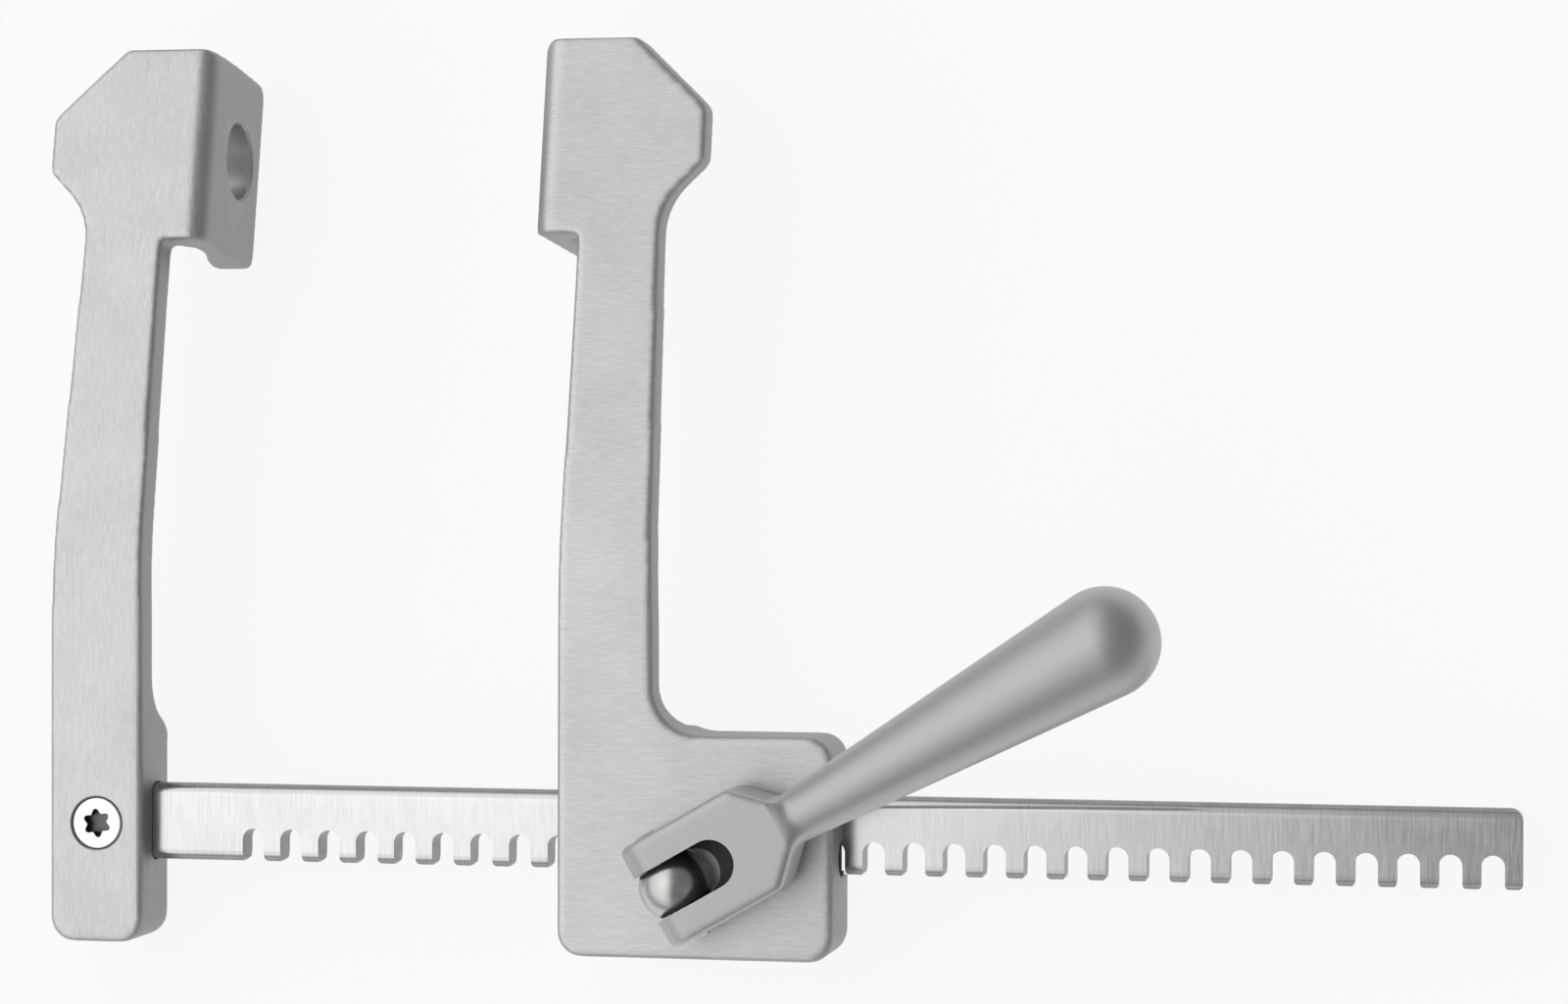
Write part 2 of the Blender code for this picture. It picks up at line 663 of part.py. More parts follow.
def build_rack(material, parent):
    rack = rack_section("rack_bar", 0.0, RACK_START, RACK_END)
    tip_corners = [
        (RACK_START - OVERSHOOT, -OVERSHOOT, 0.0),
        (RACK_END - RACK_TAIL, -OVERSHOOT, 0.0),
        (RACK_END - RACK_TAIL, 0.0, 0.0),
        (RACK_END, 0.0, RACK_TIP_LOW_RADIUS),
        (RACK_END, RACK_HEIGHT, RACK_TIP_TOP_RADIUS),
        (RACK_START - OVERSHOOT, RACK_HEIGHT, 0.0),
    ]
    tip = prism("rack_tip_form", rounded_outline(tip_corners), RACK_BACK - OVERSHOOT, OVERSHOOT, ON_XY)
    keep(rack, material, parent)
    combine(rack, tip, "INTERSECT")
    low, high = RACK_BACK - OVERSHOOT, OVERSHOOT
    notches = [
        prism(f"notch_{n + 1}", notch_outline(n * RACK_PITCH), low, high, ON_XY) for n in range(NOTCH_COUNT)
    ]
    cutter = joined("notch_cutter", notches)
    combine(rack, cutter)
    high, low = (SCREW_X, RACK_MIDDLE, OVERSHOOT), (SCREW_X, RACK_MIDDLE, RACK_BACK - OVERSHOOT)
    combine(rack, cylinder("rack_screw_bore", SCREW_DIAMETER / 2 + BORE_GAP, high, low))
    return rack


def joined(name, items):
    """One object from several that don't touch each other."""
    work = bmesh.new()
    for item in items:
        work.from_mesh(item.data)
        bpy.data.objects.remove(item, do_unlink=True)
    mesh = bpy.data.meshes.new(name)
    work.to_mesh(mesh)
    work.free()
    return bpy.data.objects.new(name, mesh)


def screw_tip():
    return RACK_BACK - SCREW_GRIP_IN_BACK


def countersink(name, head, shank, rim, depth, sides):
    """Cutter for a countersunk screw: face at z = 0, bore towards -z, wider than the screw by BORE_GAP."""
    wide = head / 2 + BORE_GAP
    narrow = shank / 2 + BORE_GAP
    profile = [
        (0.0, OVERSHOOT),
        (wide, OVERSHOOT),
        (wide, -rim),
        (narrow, -rim - (wide - narrow)),
        (narrow, -depth),
        (0.0, -depth),
    ]
    return turned(name, profile, sides)


def countersunk_screw(name, head, shank, rim, length, sides):
    """Screw with its head's face at z = 0 and its shank towards -z."""
    cone = (head - shank) / 2
    rim_bevel = rim * SCREW_RIM_BEVEL
    tip_bevel = shank * SCREW_TIP_BEVEL
    profile = [
        (0.0, 0.0),
        (head / 2 - rim_bevel, 0.0),
        (head / 2, -rim_bevel),
        (head / 2, -rim),
        (shank / 2, -rim - cone),
        (shank / 2, -length + tip_bevel),
        (shank / 2 - tip_bevel, -length),
        (0.0, -length),
    ]
    return turned(name, profile, sides)


def build_rack_screw(material, parent):
    length = FOOT_FRONT - SEAT_GAP - screw_tip()
    head, shank = SCREW_HEAD_DIAMETER, SCREW_DIAMETER
    screw = countersunk_screw("rack_screw", head, shank, SCREW_HEAD_RIM, length, ROUND_SIDES)
    keep(screw, material, parent)
    screw.location = (SCREW_X, RACK_MIDDLE, FOOT_FRONT - SEAT_GAP)
    lobes = []
    for step in range(LOBE_STEPS):
        angle = math.tau * step / LOBE_STEPS
        radius = LOBE_DIAMETER / 2 * (1 - LOBE_SWING + LOBE_SWING * math.cos(LOBE_COUNT * angle))
        lobes.append((radius * math.cos(angle), radius * math.sin(angle)))
    recess = prism("rack_screw_recess", lobes, -LOBE_DEPTH, OVERSHOOT, ON_XY)
    recess.location = screw.location
    combine(screw, recess)
    return screw


# Housing's back cover


def cover_corners(inset):
    low_x, high_x = MOVABLE_INNER_X + inset, HOUSING_OUTER_X - inset
    low_y, high_y = HOUSING_BOTTOM + inset, HOUSING_TOP - inset
    return low_x, high_x, low_y, high_y


def cover_screw_places():
    low_x, high_x, low_y, high_y = cover_corners(COVER_INSET + COVER_SCREW_INSET)
    return [(low_x, low_y), (high_x, low_y), (high_x, high_y), (low_x, high_y)]


def build_back_cover(material, parent):
    low_x, high_x, low_y, high_y = cover_corners(COVER_INSET)
    r = COVER_CORNER
    corners = [(low_x, low_y, r), (high_x, low_y, r), (high_x, high_y, r), (low_x, high_y, r)]
    cover = prism("housing_back_cover", rounded_outline(corners), COVER_BACK, COVER_FRONT, ON_XY)

    def at_back(point):
        return point.z < COVER_BACK + NEAR

    fillet(cover, COVER_EDGE, 2, at_back)
    keep(cover, material, parent)
    bush = DISC_DIAMETER / 2 + SLIDE_GAP + REAR_BUSH_WALL + BORE_GAP
    recess_back = (SHAFT_X, SHAFT_Y, REAR_DISC_BACK - SLIDE_GAP)
    recess_front = (SHAFT_X, SHAFT_Y, COVER_FRONT + OVERSHOOT)
    combine(cover, cylinder("rear_bush_recess", bush, recess_back, recess_front))
    for number, (x, y) in enumerate(cover_screw_places(), start=1):
        sink = countersink(
            f"cover_countersink_{number}",
            COVER_SCREW_HEAD,
            COVER_SCREW_DIAMETER,
            COVER_SCREW_RIM + SEAT_GAP,
            COVER_SCREW_LENGTH,
            COVER_SCREW_SIDES,
        )
        combine(cover, sink)
        sink.location = (x, y, COVER_BACK)
        sink.rotation_euler = (math.pi, 0.0, 0.0)
    return cover


def build_cover_screws(material, parent):
    for number, (x, y) in enumerate(cover_screw_places(), start=1):
        screw = countersunk_screw(
            f"cover_screw_{number}",
            COVER_SCREW_HEAD,
            COVER_SCREW_DIAMETER,
            COVER_SCREW_RIM,
            COVER_SCREW_LENGTH - SEAT_GAP,
            COVER_SCREW_SIDES,
        )
        keep(screw, material, parent)
        screw.location = (x, y, COVER_BACK + SEAT_GAP)
        screw.rotation_euler = (math.pi, 0.0, 0.0)
        socket = cylinder(
            f"cover_screw_socket_{number}",
            COVER_SOCKET_DIAMETER / 2,
            (0, 0, -COVER_SOCKET_DEPTH),
            (0, 0, OVERSHOOT),
            COVER_SOCKET_SIDES,
        )
        socket.location = screw.location
        socket.rotation_euler = screw.rotation_euler
        combine(screw, socket)


# Crank: everything below is drawn round the shaft's axis, z still the frame's


def dome_profile(radius, height, top):
    """Points of a domed end: a quarter ellipse from the axis at top down to radius."""
    angles = [math.pi / 2 * step / DOME_STEPS for step in range(DOME_STEPS + 1)]
    return [(radius * math.sin(angle), top - height * (1.0 - math.cos(angle))) for angle in angles]


def build_crank_shaft(material, parent):
    top = PIN_Z + KNUCKLE_ABOVE_PIN
    shoulder = FRONT_DISC_FRONT + SEAT_GAP
    profile = dome_profile(KNUCKLE_DIAMETER / 2, KNUCKLE_ABOVE_PIN, top)
    profile += [
        (KNUCKLE_DIAMETER / 2, KNUCKLE_BASE),
        (SHAFT_DIAMETER / 2, KNUCKLE_BASE),
        (SHAFT_DIAMETER / 2, shoulder),
        (SPIGOT_DIAMETER / 2, shoulder),
        (SPIGOT_DIAMETER / 2, FRONT_DISC_BACK),
        (0.0, FRONT_DISC_BACK),
    ]
    shaft = turned("crank_shaft", profile)
    keep(shaft, material, parent)
    half = KNUCKLE_FLATS / 2
    for name, side in (("knuckle_flat_left", 1), ("knuckle_flat_right", -1)):
        reach = KNUCKLE_DIAMETER
        low_y, high_y = sorted((side * half, side * reach))
        square = [(-reach, low_y), (reach, low_y), (reach, high_y), (-reach, high_y)]
        combine(shaft, prism(name, square, KNUCKLE_BASE - BORE_GAP / 2, top + OVERSHOOT, ON_XY))
    radius = HINGE_PIN_DIAMETER / 2 + BORE_GAP
    start, end = (0, -KNUCKLE_DIAMETER, PIN_Z), (0, KNUCKLE_DIAMETER, PIN_Z)
    combine(shaft, cylinder("knuckle_bore", radius, start, end, SMALL_ROUND_SIDES))
    return shaft


def ring(name, inner, outer, low, high, sides=ROUND_SIDES):
    """Plain ring turned about z."""
    return turned(name, [(inner, low), (inner, high), (outer, high), (outer, low), (inner, low)], sides)


def build_bushes(material, steel, parent_at_shaft):
    bore = SHAFT_DIAMETER / 2 + BORE_GAP
    low, high = POCKET_FRONT, HOUSING_FRONT - BORE_GAP
    keep(ring("front_bush", bore, bore + BUSH_WALL, low, high), material, parent_at_shaft)
    rear_bore = DISC_DIAMETER / 2 + SLIDE_GAP
    low, high = REAR_DISC_BACK, COVER_FRONT
    keep(ring("rear_bush", rear_bore, rear_bore + REAR_BUSH_WALL, low, high), material, parent_at_shaft)
    low = HOUSING_FRONT + BORE_GAP
    washer = ring("thrust_washer", bore, KNUCKLE_DIAMETER / 2, low, low + WASHER_THICKNESS)
    keep(washer, steel, parent_at_shaft)


def drive_pin_places():
    """Drive pins lie on the rack's line at rest, whatever way the handle points."""
    x = PIN_ORBIT * math.cos(HANDLE_YAW)
    y = -PIN_ORBIT * math.sin(HANDLE_YAW)
    return [(x, y), (-x, -y)]


def build_pinion(material, parent):
    radius = DISC_DIAMETER / 2
    front = cylinder("pinion_front_disc", radius, (0, 0, FRONT_DISC_BACK), (0, 0, FRONT_DISC_FRONT))
    rear = cylinder("pinion_rear_disc", radius, (0, 0, REAR_DISC_BACK), (0, 0, REAR_DISC_FRONT))
    for disc in (front, rear):
        keep(disc, material, parent)
    spigot = SPIGOT_DIAMETER / 2 + BORE_GAP
    low, high = FRONT_DISC_BACK - OVERSHOOT, FRONT_DISC_FRONT + OVERSHOOT
    combine(front, cylinder("front_disc_bore", spigot, (0, 0, low), (0, 0, high)))
    for number, (x, y) in enumerate(drive_pin_places(), start=1):
        pin_radius = DRIVE_PIN_DIAMETER / 2
        bore = cylinder(
            f"drive_pin_bore_{number}",
            pin_radius + BORE_GAP,
            (x, y, REAR_DISC_BACK - OVERSHOOT),
            (x, y, FRONT_DISC_FRONT + OVERSHOOT),
            SMALL_ROUND_SIDES,
        )
        combine(front, bore)
        combine(rear, bore)
        pin = cylinder(
            f"drive_pin_{number}",
            pin_radius,
            (x, y, REAR_DISC_BACK),
            (x, y, FRONT_DISC_FRONT),
            SMALL_ROUND_SIDES,
        )
        keep(pin, material, parent)


# Handle, drawn round the hinge pin: x towards the grip, y along the pin


def grip_profile():
    """Radius against reach: ball end first, then the cone back to the neck."""
    slope = math.asin((BALL_RADIUS - NECK_RADIUS) / (BALL_REACH - NECK_START))
    profile = []
    for step in range(BALL_STEPS + 1):
        angle = (math.pi / 2 + slope) * step / BALL_STEPS
        profile.append((BALL_RADIUS * math.sin(angle), BALL_REACH + BALL_RADIUS * math.cos(angle)))
    profile.append((NECK_RADIUS, NECK_START))
    profile.append((NECK_RADIUS, GRIP_START))
    profile.append((0.0, GRIP_START))
    return profile


def build_handle(material, parent):
    half = CLEVIS_WIDTH / 2
    shoulder_end = CLEVIS_LENGTH + CLEVIS_SHOULDER
    neck_end = shoulder_end + NECK_RADIUS
    neck = NECK_RADIUS
    core = NECK_RADIUS * NECK_CORE
    plan = rounded_outline(
        [
            (-CLEVIS_RADIUS - OVERSHOOT, -half, 0.0),
            (CLEVIS_LENGTH, -half, CLEVIS_FILLET * 2),
            (shoulder_end, -neck, NECK_RADIUS),
            (neck_end, -core, 0.0),
            (neck_end, core, 0.0),
            (shoulder_end, neck, NECK_RADIUS),
            (CLEVIS_LENGTH, half, CLEVIS_FILLET * 2),
            (-CLEVIS_RADIUS - OVERSHOOT, half, 0.0),
        ]
    )
    r = CLEVIS_RADIUS
    side = rounded_outline(
        [
            (-r, -r, r),
            (CLEVIS_LENGTH, -r, NECK_RADIUS),
            (neck_end, -core, 0.0),
            (neck_end, core, 0.0),
            (CLEVIS_LENGTH, r, NECK_RADIUS),
            (-r, r, r),
        ]
    )
    handle = prism("crank_handle", plan, -CLEVIS_WIDTH, CLEVIS_WIDTH, ON_XY)
    upright = ((1, 0, 0), (0, 0, 1), (0, -1, 0))
    clevis_side = prism("clevis_side", side, -CLEVIS_WIDTH, CLEVIS_WIDTH, upright)
    combine(handle, clevis_side, "INTERSECT")
    handle = baked(handle)

    def before_neck(point):
        return point.x < neck_end - MERGE

    fillet(handle, CLEVIS_FILLET, 2, before_neck)
    keep(handle, material, parent)
    slot_half = KNUCKLE_FLATS / 2 + FORK_GAP
    slot_back = -CLEVIS_RADIUS - OVERSHOOT
    slot = rounded_outline(
        [
            (slot_back, -slot_half, 0.0),
            (SLOT_REACH, -slot_half, slot_half),
            (SLOT_REACH, slot_half, slot_half),
            (slot_back, slot_half, 0.0),
        ]
    )
    combine(handle, prism("fork_slot", slot, -CLEVIS_WIDTH, CLEVIS_WIDTH, ON_XY))
    grip = turned("grip", grip_profile())
    grip.data.transform(Matrix.Rotation(math.pi / 2, 4, "Y"))
    combine(handle, grip, "UNION")
    radius = HINGE_PIN_DIAMETER / 2 + BORE_GAP
    start, end = (0, -CLEVIS_WIDTH, 0), (0, CLEVIS_WIDTH, 0)
    combine(handle, cylinder("clevis_bore", radius, start, end, SMALL_ROUND_SIDES))
    return handle


def build_hinge_pin(material, parent):
    half = CLEVIS_WIDTH / 2 - HINGE_PIN_RECESS
    radius = HINGE_PIN_DIAMETER / 2
    profile = [
        (0.0, half),
        (radius - HINGE_PIN_CHAMFER, half),
        (radius, half - HINGE_PIN_CHAMFER),
        (radius, -half + HINGE_PIN_CHAMFER),
        (radius - HINGE_PIN_CHAMFER, -half),
        (0.0, -half),
    ]
    pin = turned("hinge_pin", profile, SMALL_ROUND_SIDES)
    keep(pin, material, parent)
    pin.rotation_euler = (math.pi / 2, 0.0, 0.0)
    return pin


def laid_y(y, z):
    """Distance along the floor of a point (y, z) once the instrument lies on its back."""
    return y * math.cos(ARM_BEND_ANGLE) - z * math.sin(ARM_BEND_ANGLE)


def middle_of_footprint():
    """Middle of the laid instrument: the housing's lower front edge and the fixed head's top are its ends."""
    turned_in = math.cos(ARM_BEND_ANGLE) + math.sin(ARM_BEND_ANGLE) - 1.0
    near_end = laid_y(HOUSING_BOTTOM, HOUSING_FRONT) + FRONT_FILLET * turned_in
    lean = ARM_BEND_ANGLE - FLANGE_DROOP
    drawn_in = math.tan(lean) + 1.0 / math.cos(lean) - 1.0
    far_end = laid_y(*flange_back_end(FOOT_FRONT, HEAD_TOP)) - FLANGE_CORNER * drawn_in
    middle_x = (FOOT_INNER_X + FLANGE_REACH - HEAD_WIDTH + RACK_END) / 2
    return middle_x, (near_end + far_end) / 2


def build():
    alloy = make_material("satin_alloy", (0.60, 0.60, 0.60), 0.9, 0.42)
    blasted = make_material("blasted_alloy", (0.45, 0.45, 0.44), 0.85, 0.6)
    steel = make_material("polished_steel", (0.62, 0.61, 0.59), 1.0, 0.22)
    bronze = make_material("bearing_bronze", (0.52, 0.36, 0.18), 1.0, 0.35)

    tilt = ARM_BEND_ANGLE
    middle_x, middle_y = middle_of_footprint()
    on_floor = (-middle_x, -middle_y, -floor_z(0.0) * math.cos(tilt))
    instrument = make_empty("instrument", on_floor, rotation=(tilt, 0.0, 0.0))
    slide = make_empty("arm_slide_axis", (0.0, 0.0, 0.0), instrument)
    bearing = make_empty("shaft_bearing", (SHAFT_X, SHAFT_Y, 0.0), slide)
    crank = make_empty("crank_spin_axis", (SHAFT_X, SHAFT_Y, 0.0), slide, (0.0, 0.0, HANDLE_YAW))
    hinge_seat = make_empty("hinge_pin_seat", (0.0, 0.0, PIN_Z), crank)
    hinge = make_empty("handle_fold_axis", (0.0, 0.0, PIN_Z), crank, (0.0, -HANDLE_RISE, 0.0))

    build_fixed_arm(alloy, instrument)
    build_rack(steel, instrument)
    build_rack_screw(steel, instrument)
    build_movable_arm(alloy, slide)
    build_back_cover(alloy, slide)
    build_cover_screws(steel, slide)
    build_bushes(bronze, steel, bearing)
    build_crank_shaft(steel, crank)
    build_pinion(steel, crank)
    build_hinge_pin(steel, hinge_seat)
    build_handle(blasted, hinge)


clear_scene()
PARTS = make_collection("rib_spreader")
CUTTERS = make_collection("cutters")
build()
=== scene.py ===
"""Looks of the rib spreader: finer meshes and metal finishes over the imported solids, floor, light and camera.

Shapes are drawn in millimetres in the drawing frame: x runs along the rack from the left edge of its first
notch, y from the tooth tips towards the heads, z from the rack's front face towards the crank. The class
Drawing lays them on their back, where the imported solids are.
"""

import logging
import math
from collections.abc import Callable, Iterator, Sequence
from contextlib import contextmanager
from dataclasses import dataclass, field
from enum import Enum

import bmesh
import bpy
from mathutils import Matrix, Vector


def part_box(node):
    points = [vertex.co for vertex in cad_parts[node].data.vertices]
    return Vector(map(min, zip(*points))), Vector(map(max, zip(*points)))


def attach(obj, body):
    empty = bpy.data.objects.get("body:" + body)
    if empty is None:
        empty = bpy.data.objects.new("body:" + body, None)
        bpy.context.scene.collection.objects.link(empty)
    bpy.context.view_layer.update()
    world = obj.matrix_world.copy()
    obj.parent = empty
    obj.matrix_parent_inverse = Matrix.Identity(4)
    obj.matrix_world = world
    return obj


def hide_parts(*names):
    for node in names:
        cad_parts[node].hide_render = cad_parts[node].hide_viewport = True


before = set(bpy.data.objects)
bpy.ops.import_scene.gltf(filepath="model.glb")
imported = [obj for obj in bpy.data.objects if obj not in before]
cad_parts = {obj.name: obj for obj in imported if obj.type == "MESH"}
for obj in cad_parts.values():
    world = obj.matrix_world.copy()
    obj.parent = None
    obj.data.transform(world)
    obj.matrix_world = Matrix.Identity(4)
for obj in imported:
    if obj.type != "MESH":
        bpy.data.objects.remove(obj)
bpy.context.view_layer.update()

# Tilts from the front, in degrees, at which its finish starts to fade into the sides' darker colour, which is painted
# shade, and has gone.
FRONT_FADES, FRONT_ENDS = 16.0, 62.0
# How far a cutting tool reaches past the face that it opens.
PAST = 5.0
# Levels of z behind and in front of the rack, between which tools pass through it.
BEHIND, AHEAD = -12.0, 6.0
# Room in x and in z that holds both arms.
ROOM_X, ROOM_Z = (-80.0, 160.0), (-80.0, 40.0)
# Points nearer than this count as one, on outlines and rough blanks, and on fine ones.
WELD, FINE_WELD = 0.02, 0.004
log = logging.getLogger("rib_spreader")

Corner = tuple[float, float, float]
Point = tuple[float, float]
Test = Callable[[Vector], bool]
Tree = bpy.types.NodeTree
Node = bpy.types.Node
Socket = bpy.types.NodeSocket
Inputs = dict[str | int, object]


@dataclass(frozen=True)
class Drawing:
    """The drawing frame and the sizes that several sub-assemblies share, in millimetres."""

    bend: float = math.radians(11.7)
    middle_x: float = 98.45
    middle_y: float = 70.852
    rack_pitch: float = 7.5
    notch_width: float = 4.2
    rack_height: float = 14.6
    rack_back: float = -5.8
    seat_gap: float = 0.2
    slide_gap: float = 0.25
    bore_gap: float = 0.15
    heel_line: float = -13.8
    heel_back: float = -9.8
    shaft_x: float = 88.35
    shaft_y: float = -0.5
    crank_turn: float = math.radians(29.8)
    handle_rise: float = math.radians(3.5)
    hinge_z: float = 18.8
    screw_x: float = -27.2

    @property
    def slope(self) -> float:
        """Fall of the heads and of the floor per millimetre of y."""
        return math.tan(self.bend)

    def floor_z(self, y: float) -> float:
        """Height of the plane that the instrument lies on, at y."""
        return self.heel_back - (y - self.heel_line) * self.slope

    def to_world(self) -> Matrix:
        """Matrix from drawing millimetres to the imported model's metres."""
        lift = -self.floor_z(0.0) * math.cos(self.bend)
        laid = Matrix.Translation((-self.middle_x, -self.middle_y, lift)) @ Matrix.Rotation(self.bend, 4, "X")
        return Matrix.Scale(0.001, 4) @ laid

    def at_shaft(self) -> Matrix:
        """Place of the shaft's axis."""
        return Matrix.Translation((self.shaft_x, self.shaft_y, 0.0))

    def at_screw(self, height: float) -> Matrix:
        """Place on the rack screw's axis, at a height of z."""
        return Matrix.Translation((self.screw_x, self.rack_height / 2, height))

    def crank_frame(self) -> Matrix:
        """Frame on the shaft's axis, x towards the handle."""
        return self.at_shaft() @ Matrix.Rotation(self.crank_turn, 4, "Z")

    def handle_frame(self) -> Matrix:
        """Frame on the hinge pin, x towards the grip, y along the pin."""
        lift = Matrix.Translation((0.0, 0.0, self.hinge_z))
        return self.crank_frame() @ lift @ Matrix.Rotation(-self.handle_rise, 4, "Y")


DRAWING = Drawing()


class Plane(Enum):
    """Plane that an outline is drawn on; the third axis is the one it is extruded along."""

    XY = ((1, 0, 0), (0, 1, 0), (0, 0, 1))
    YZ = ((0, 1, 0), (0, 0, 1), (1, 0, 0))
    ZX = ((0, 0, 1), (1, 0, 0), (0, 1, 0))
    XZ = ((1, 0, 0), (0, 0, 1), (0, -1, 0))

    def matrix(self) -> Matrix:
        """Matrix whose columns are the plane's three axes."""
        return Matrix([Vector(axis) for axis in self.value]).transposed().to_4x4()


class Cut(Enum):
    """Ways to combine two blanks."""

    AWAY = "DIFFERENCE"
    WITHIN = "INTERSECT"


def rounded_outline(corners: Sequence[Corner], step: float = math.radians(6.0), reach: float = 1.6) -> list[Vector]:
    """Rounds the corners of a closed outline.

    Args:
        corners: Corner points with their radii.
        step: Largest turn of the outline between two points of an arc.
        reach: Largest distance between two points of an arc.

    Returns:
        The outline's points, in order.
    """
    points: list[Vector] = []
    for index, (u, v, radius) in enumerate(corners):
        corner = Vector((u, v))
        if radius <= 0.0:
            points.append(corner)
            continue
        before = (Vector(corners[index - 1][:2]) - corner).normalized()
        after = (Vector(corners[(index + 1) % len(corners)][:2]) - corner).normalized()
        half = before.angle(after) / 2
        centre = corner + (before + after).normalized() * (radius / math.sin(half))
        start = corner + before * (radius / math.tan(half)) - centre
        sweep = math.pi - 2 * half
        turn = 1.0 if before.cross(after) < 0.0 else -1.0
        steps = max(1, round(sweep / step), math.ceil(sweep * radius / reach))
        for n in range(steps + 1):
            arm = start.copy()
            arm.rotate(Matrix.Rotation(turn * sweep * n / steps, 2))
            points.append(centre + arm)
    return [point for n, point in enumerate(points) if (point - points[n - 1]).length > WELD]


def crossing(point_a: Point, slope_a: float, point_b: Point, slope_b: float) -> Point:
    """Finds where two lines meet.

    Args:
        point_a: A point of the first line.
        slope_a: Its slope.
        point_b: A point of the second line.
        slope_b: Its slope.

    Returns:
        The meeting point.
    """
    u = (point_b[1] - point_a[1] + slope_a * point_a[0] - slope_b * point_b[0]) / (slope_a - slope_b)
    return u, point_a[1] + slope_a * (u - point_a[0])


class Blank:
    """A closed mesh in the making, in millimetres."""

    def __init__(self, mesh: bpy.types.Mesh) -> None:
        """Takes over a mesh."""
        self.mesh = mesh

    @classmethod
    def prism(cls, outline: Sequence[Vector | Point], low: float, high: float, plane: Plane) -> "Blank":
        """Extrudes an outline.

        Args:
            outline: Points on the plane.
            low: Where the extrusion starts on the third axis.
            high: Where it ends.
            plane: The plane of the outline.

        Returns:
            The closed prism.
        """
        work = bmesh.new()
        face = work.faces.new([work.verts.new((u, v, low)) for u, v in outline])
        grown = bmesh.ops.extrude_face_region(work, geom=[face])
        top = [item for item in grown["geom"] if isinstance(item, bmesh.types.BMVert)]
        bmesh.ops.translate(work, vec=(0, 0, high - low), verts=top)
        bmesh.ops.recalc_face_normals(work, faces=work.faces)
        bmesh.ops.transform(work, matrix=plane.matrix(), verts=work.verts)
        return cls.from_bmesh(work)

    @classmethod
    def turned(cls, profile: Sequence[Point], sides: int = 96) -> "Blank":
        """Turns a profile about z.

        Args:
            profile: Points (radius, z), on the axis or closed on itself.
            sides: Facets of the full turn.

        Returns:
            The closed solid.
        """
        work = bmesh.new()
        verts = [work.verts.new((radius, 0.0, z)) for radius, z in profile]
        edges = [work.edges.new(pair) for pair in zip(verts, verts[1:])]
        bmesh.ops.spin(
            work, geom=verts + edges, cent=(0, 0, 0), axis=(0, 0, 1), angle=math.tau, steps=sides, use_merge=True
        )
        bmesh.ops.remove_doubles(work, verts=work.verts, dist=0.001)
        bmesh.ops.recalc_face_normals(work, faces=work.faces)
        return cls.from_bmesh(work)

    @classmethod
    def rod(cls, radius: float, low: float, high: float, sides: int = 96) -> "Blank":
        """Plain round rod about z, from low to high."""
        return cls.turned([(0.0, high), (radius, high), (radius, low), (0.0, low)], sides)

    @classmethod
    def from_bmesh(cls, work: bmesh.types.BMesh) -> "Blank":
        """Keeps a bmesh as a blank and frees it."""
        mesh = bpy.data.meshes.new("blank")
        work.to_mesh(mesh)
        work.free()
        return cls(mesh)

    def moved(self, matrix: Matrix) -> "Blank":
        """The same blank, placed by a matrix."""
        self.mesh.transform(matrix)
        if matrix.to_3x3().determinant() < 0.0:
            self.mesh.flip_normals()
        return self

    @contextmanager
    def opened(self) -> Iterator[bmesh.types.BMesh]:
        """Opens the mesh for editing, and writes it back after."""
        work = bmesh.new()
        work.from_mesh(self.mesh)
        yield work
        work.to_mesh(self.mesh)
        work.free()

    @contextmanager
    def modified(self) -> Iterator[bpy.types.Object]:
        """Lends the mesh to an object for modifiers, and works them in after."""
        item = linked("blank", self.mesh)
        yield item
        self.mesh = evaluated(item)
        bpy.data.objects.remove(item, do_unlink=True)

    def combined(self, tool: "Blank", way: Cut) -> "Blank":
        """Cuts another blank away, or keeps what both share; the other is used up."""
        other = linked("tool", tool.mesh)
        with self.modified() as item:
            boolean = item.modifiers.new("boolean", "BOOLEAN")
            boolean.operation = way.value
            boolean.solver = "EXACT"
            boolean.object = other
        bpy.data.objects.remove(other, do_unlink=True)
        return self

    def beside(self, other: "Blank") -> "Blank":
        """Adds another blank's faces, for a remesh to melt both into one."""
        with self.opened() as work:
            work.from_mesh(other.mesh)
        return self

    def cut(self, *tools: "Blank") -> "Blank":
        """Takes each tool's shape away."""
        for tool in tools:
            self.combined(tool, Cut.AWAY)
        return self

    def welded(self, distance: float) -> "Blank":
        """Merges points nearer than distance and drops faces without area."""
        with self.opened() as work:
            bmesh.ops.remove_doubles(work, verts=work.verts, dist=distance)
            bmesh.ops.dissolve_degenerate(work, edges=work.edges, dist=distance / 4)
            bmesh.ops.recalc_face_normals(work, faces=work.faces)
        return self

    def rounded(self, radius: float, segments: int, wanted: Test, sharp: float = math.radians(35.0)) -> "Blank":
        """Rounds sharp convex edges.

        Args:
            radius: Width of the rounding.
            segments: Facets across it.
            wanted: Test that both ends of an edge must pass.
            sharp: Smallest angle that counts as an edge.

        Returns:
            This blank.
        """
        with self.opened() as work:
            bmesh.ops.dissolve_limit(work, angle_limit=math.radians(0.2), verts=work.verts, edges=work.edges)
            edges = [
                edge
                for edge in work.edges
                if edge.is_manifold
                and edge.calc_face_angle_signed() > sharp
                and all(wanted(vert.co) for vert in edge.verts)
            ]
            bmesh.ops.bevel(
                work,
                geom=edges,
                offset=radius,
                offset_type="OFFSET",
                segments=segments,
                profile=0.5,
                affect="EDGES",
                clamp_overlap=False,
                miter_outer="ARC",
            )
            bmesh.ops.remove_doubles(work, verts=work.verts, dist=FINE_WELD)
        return self

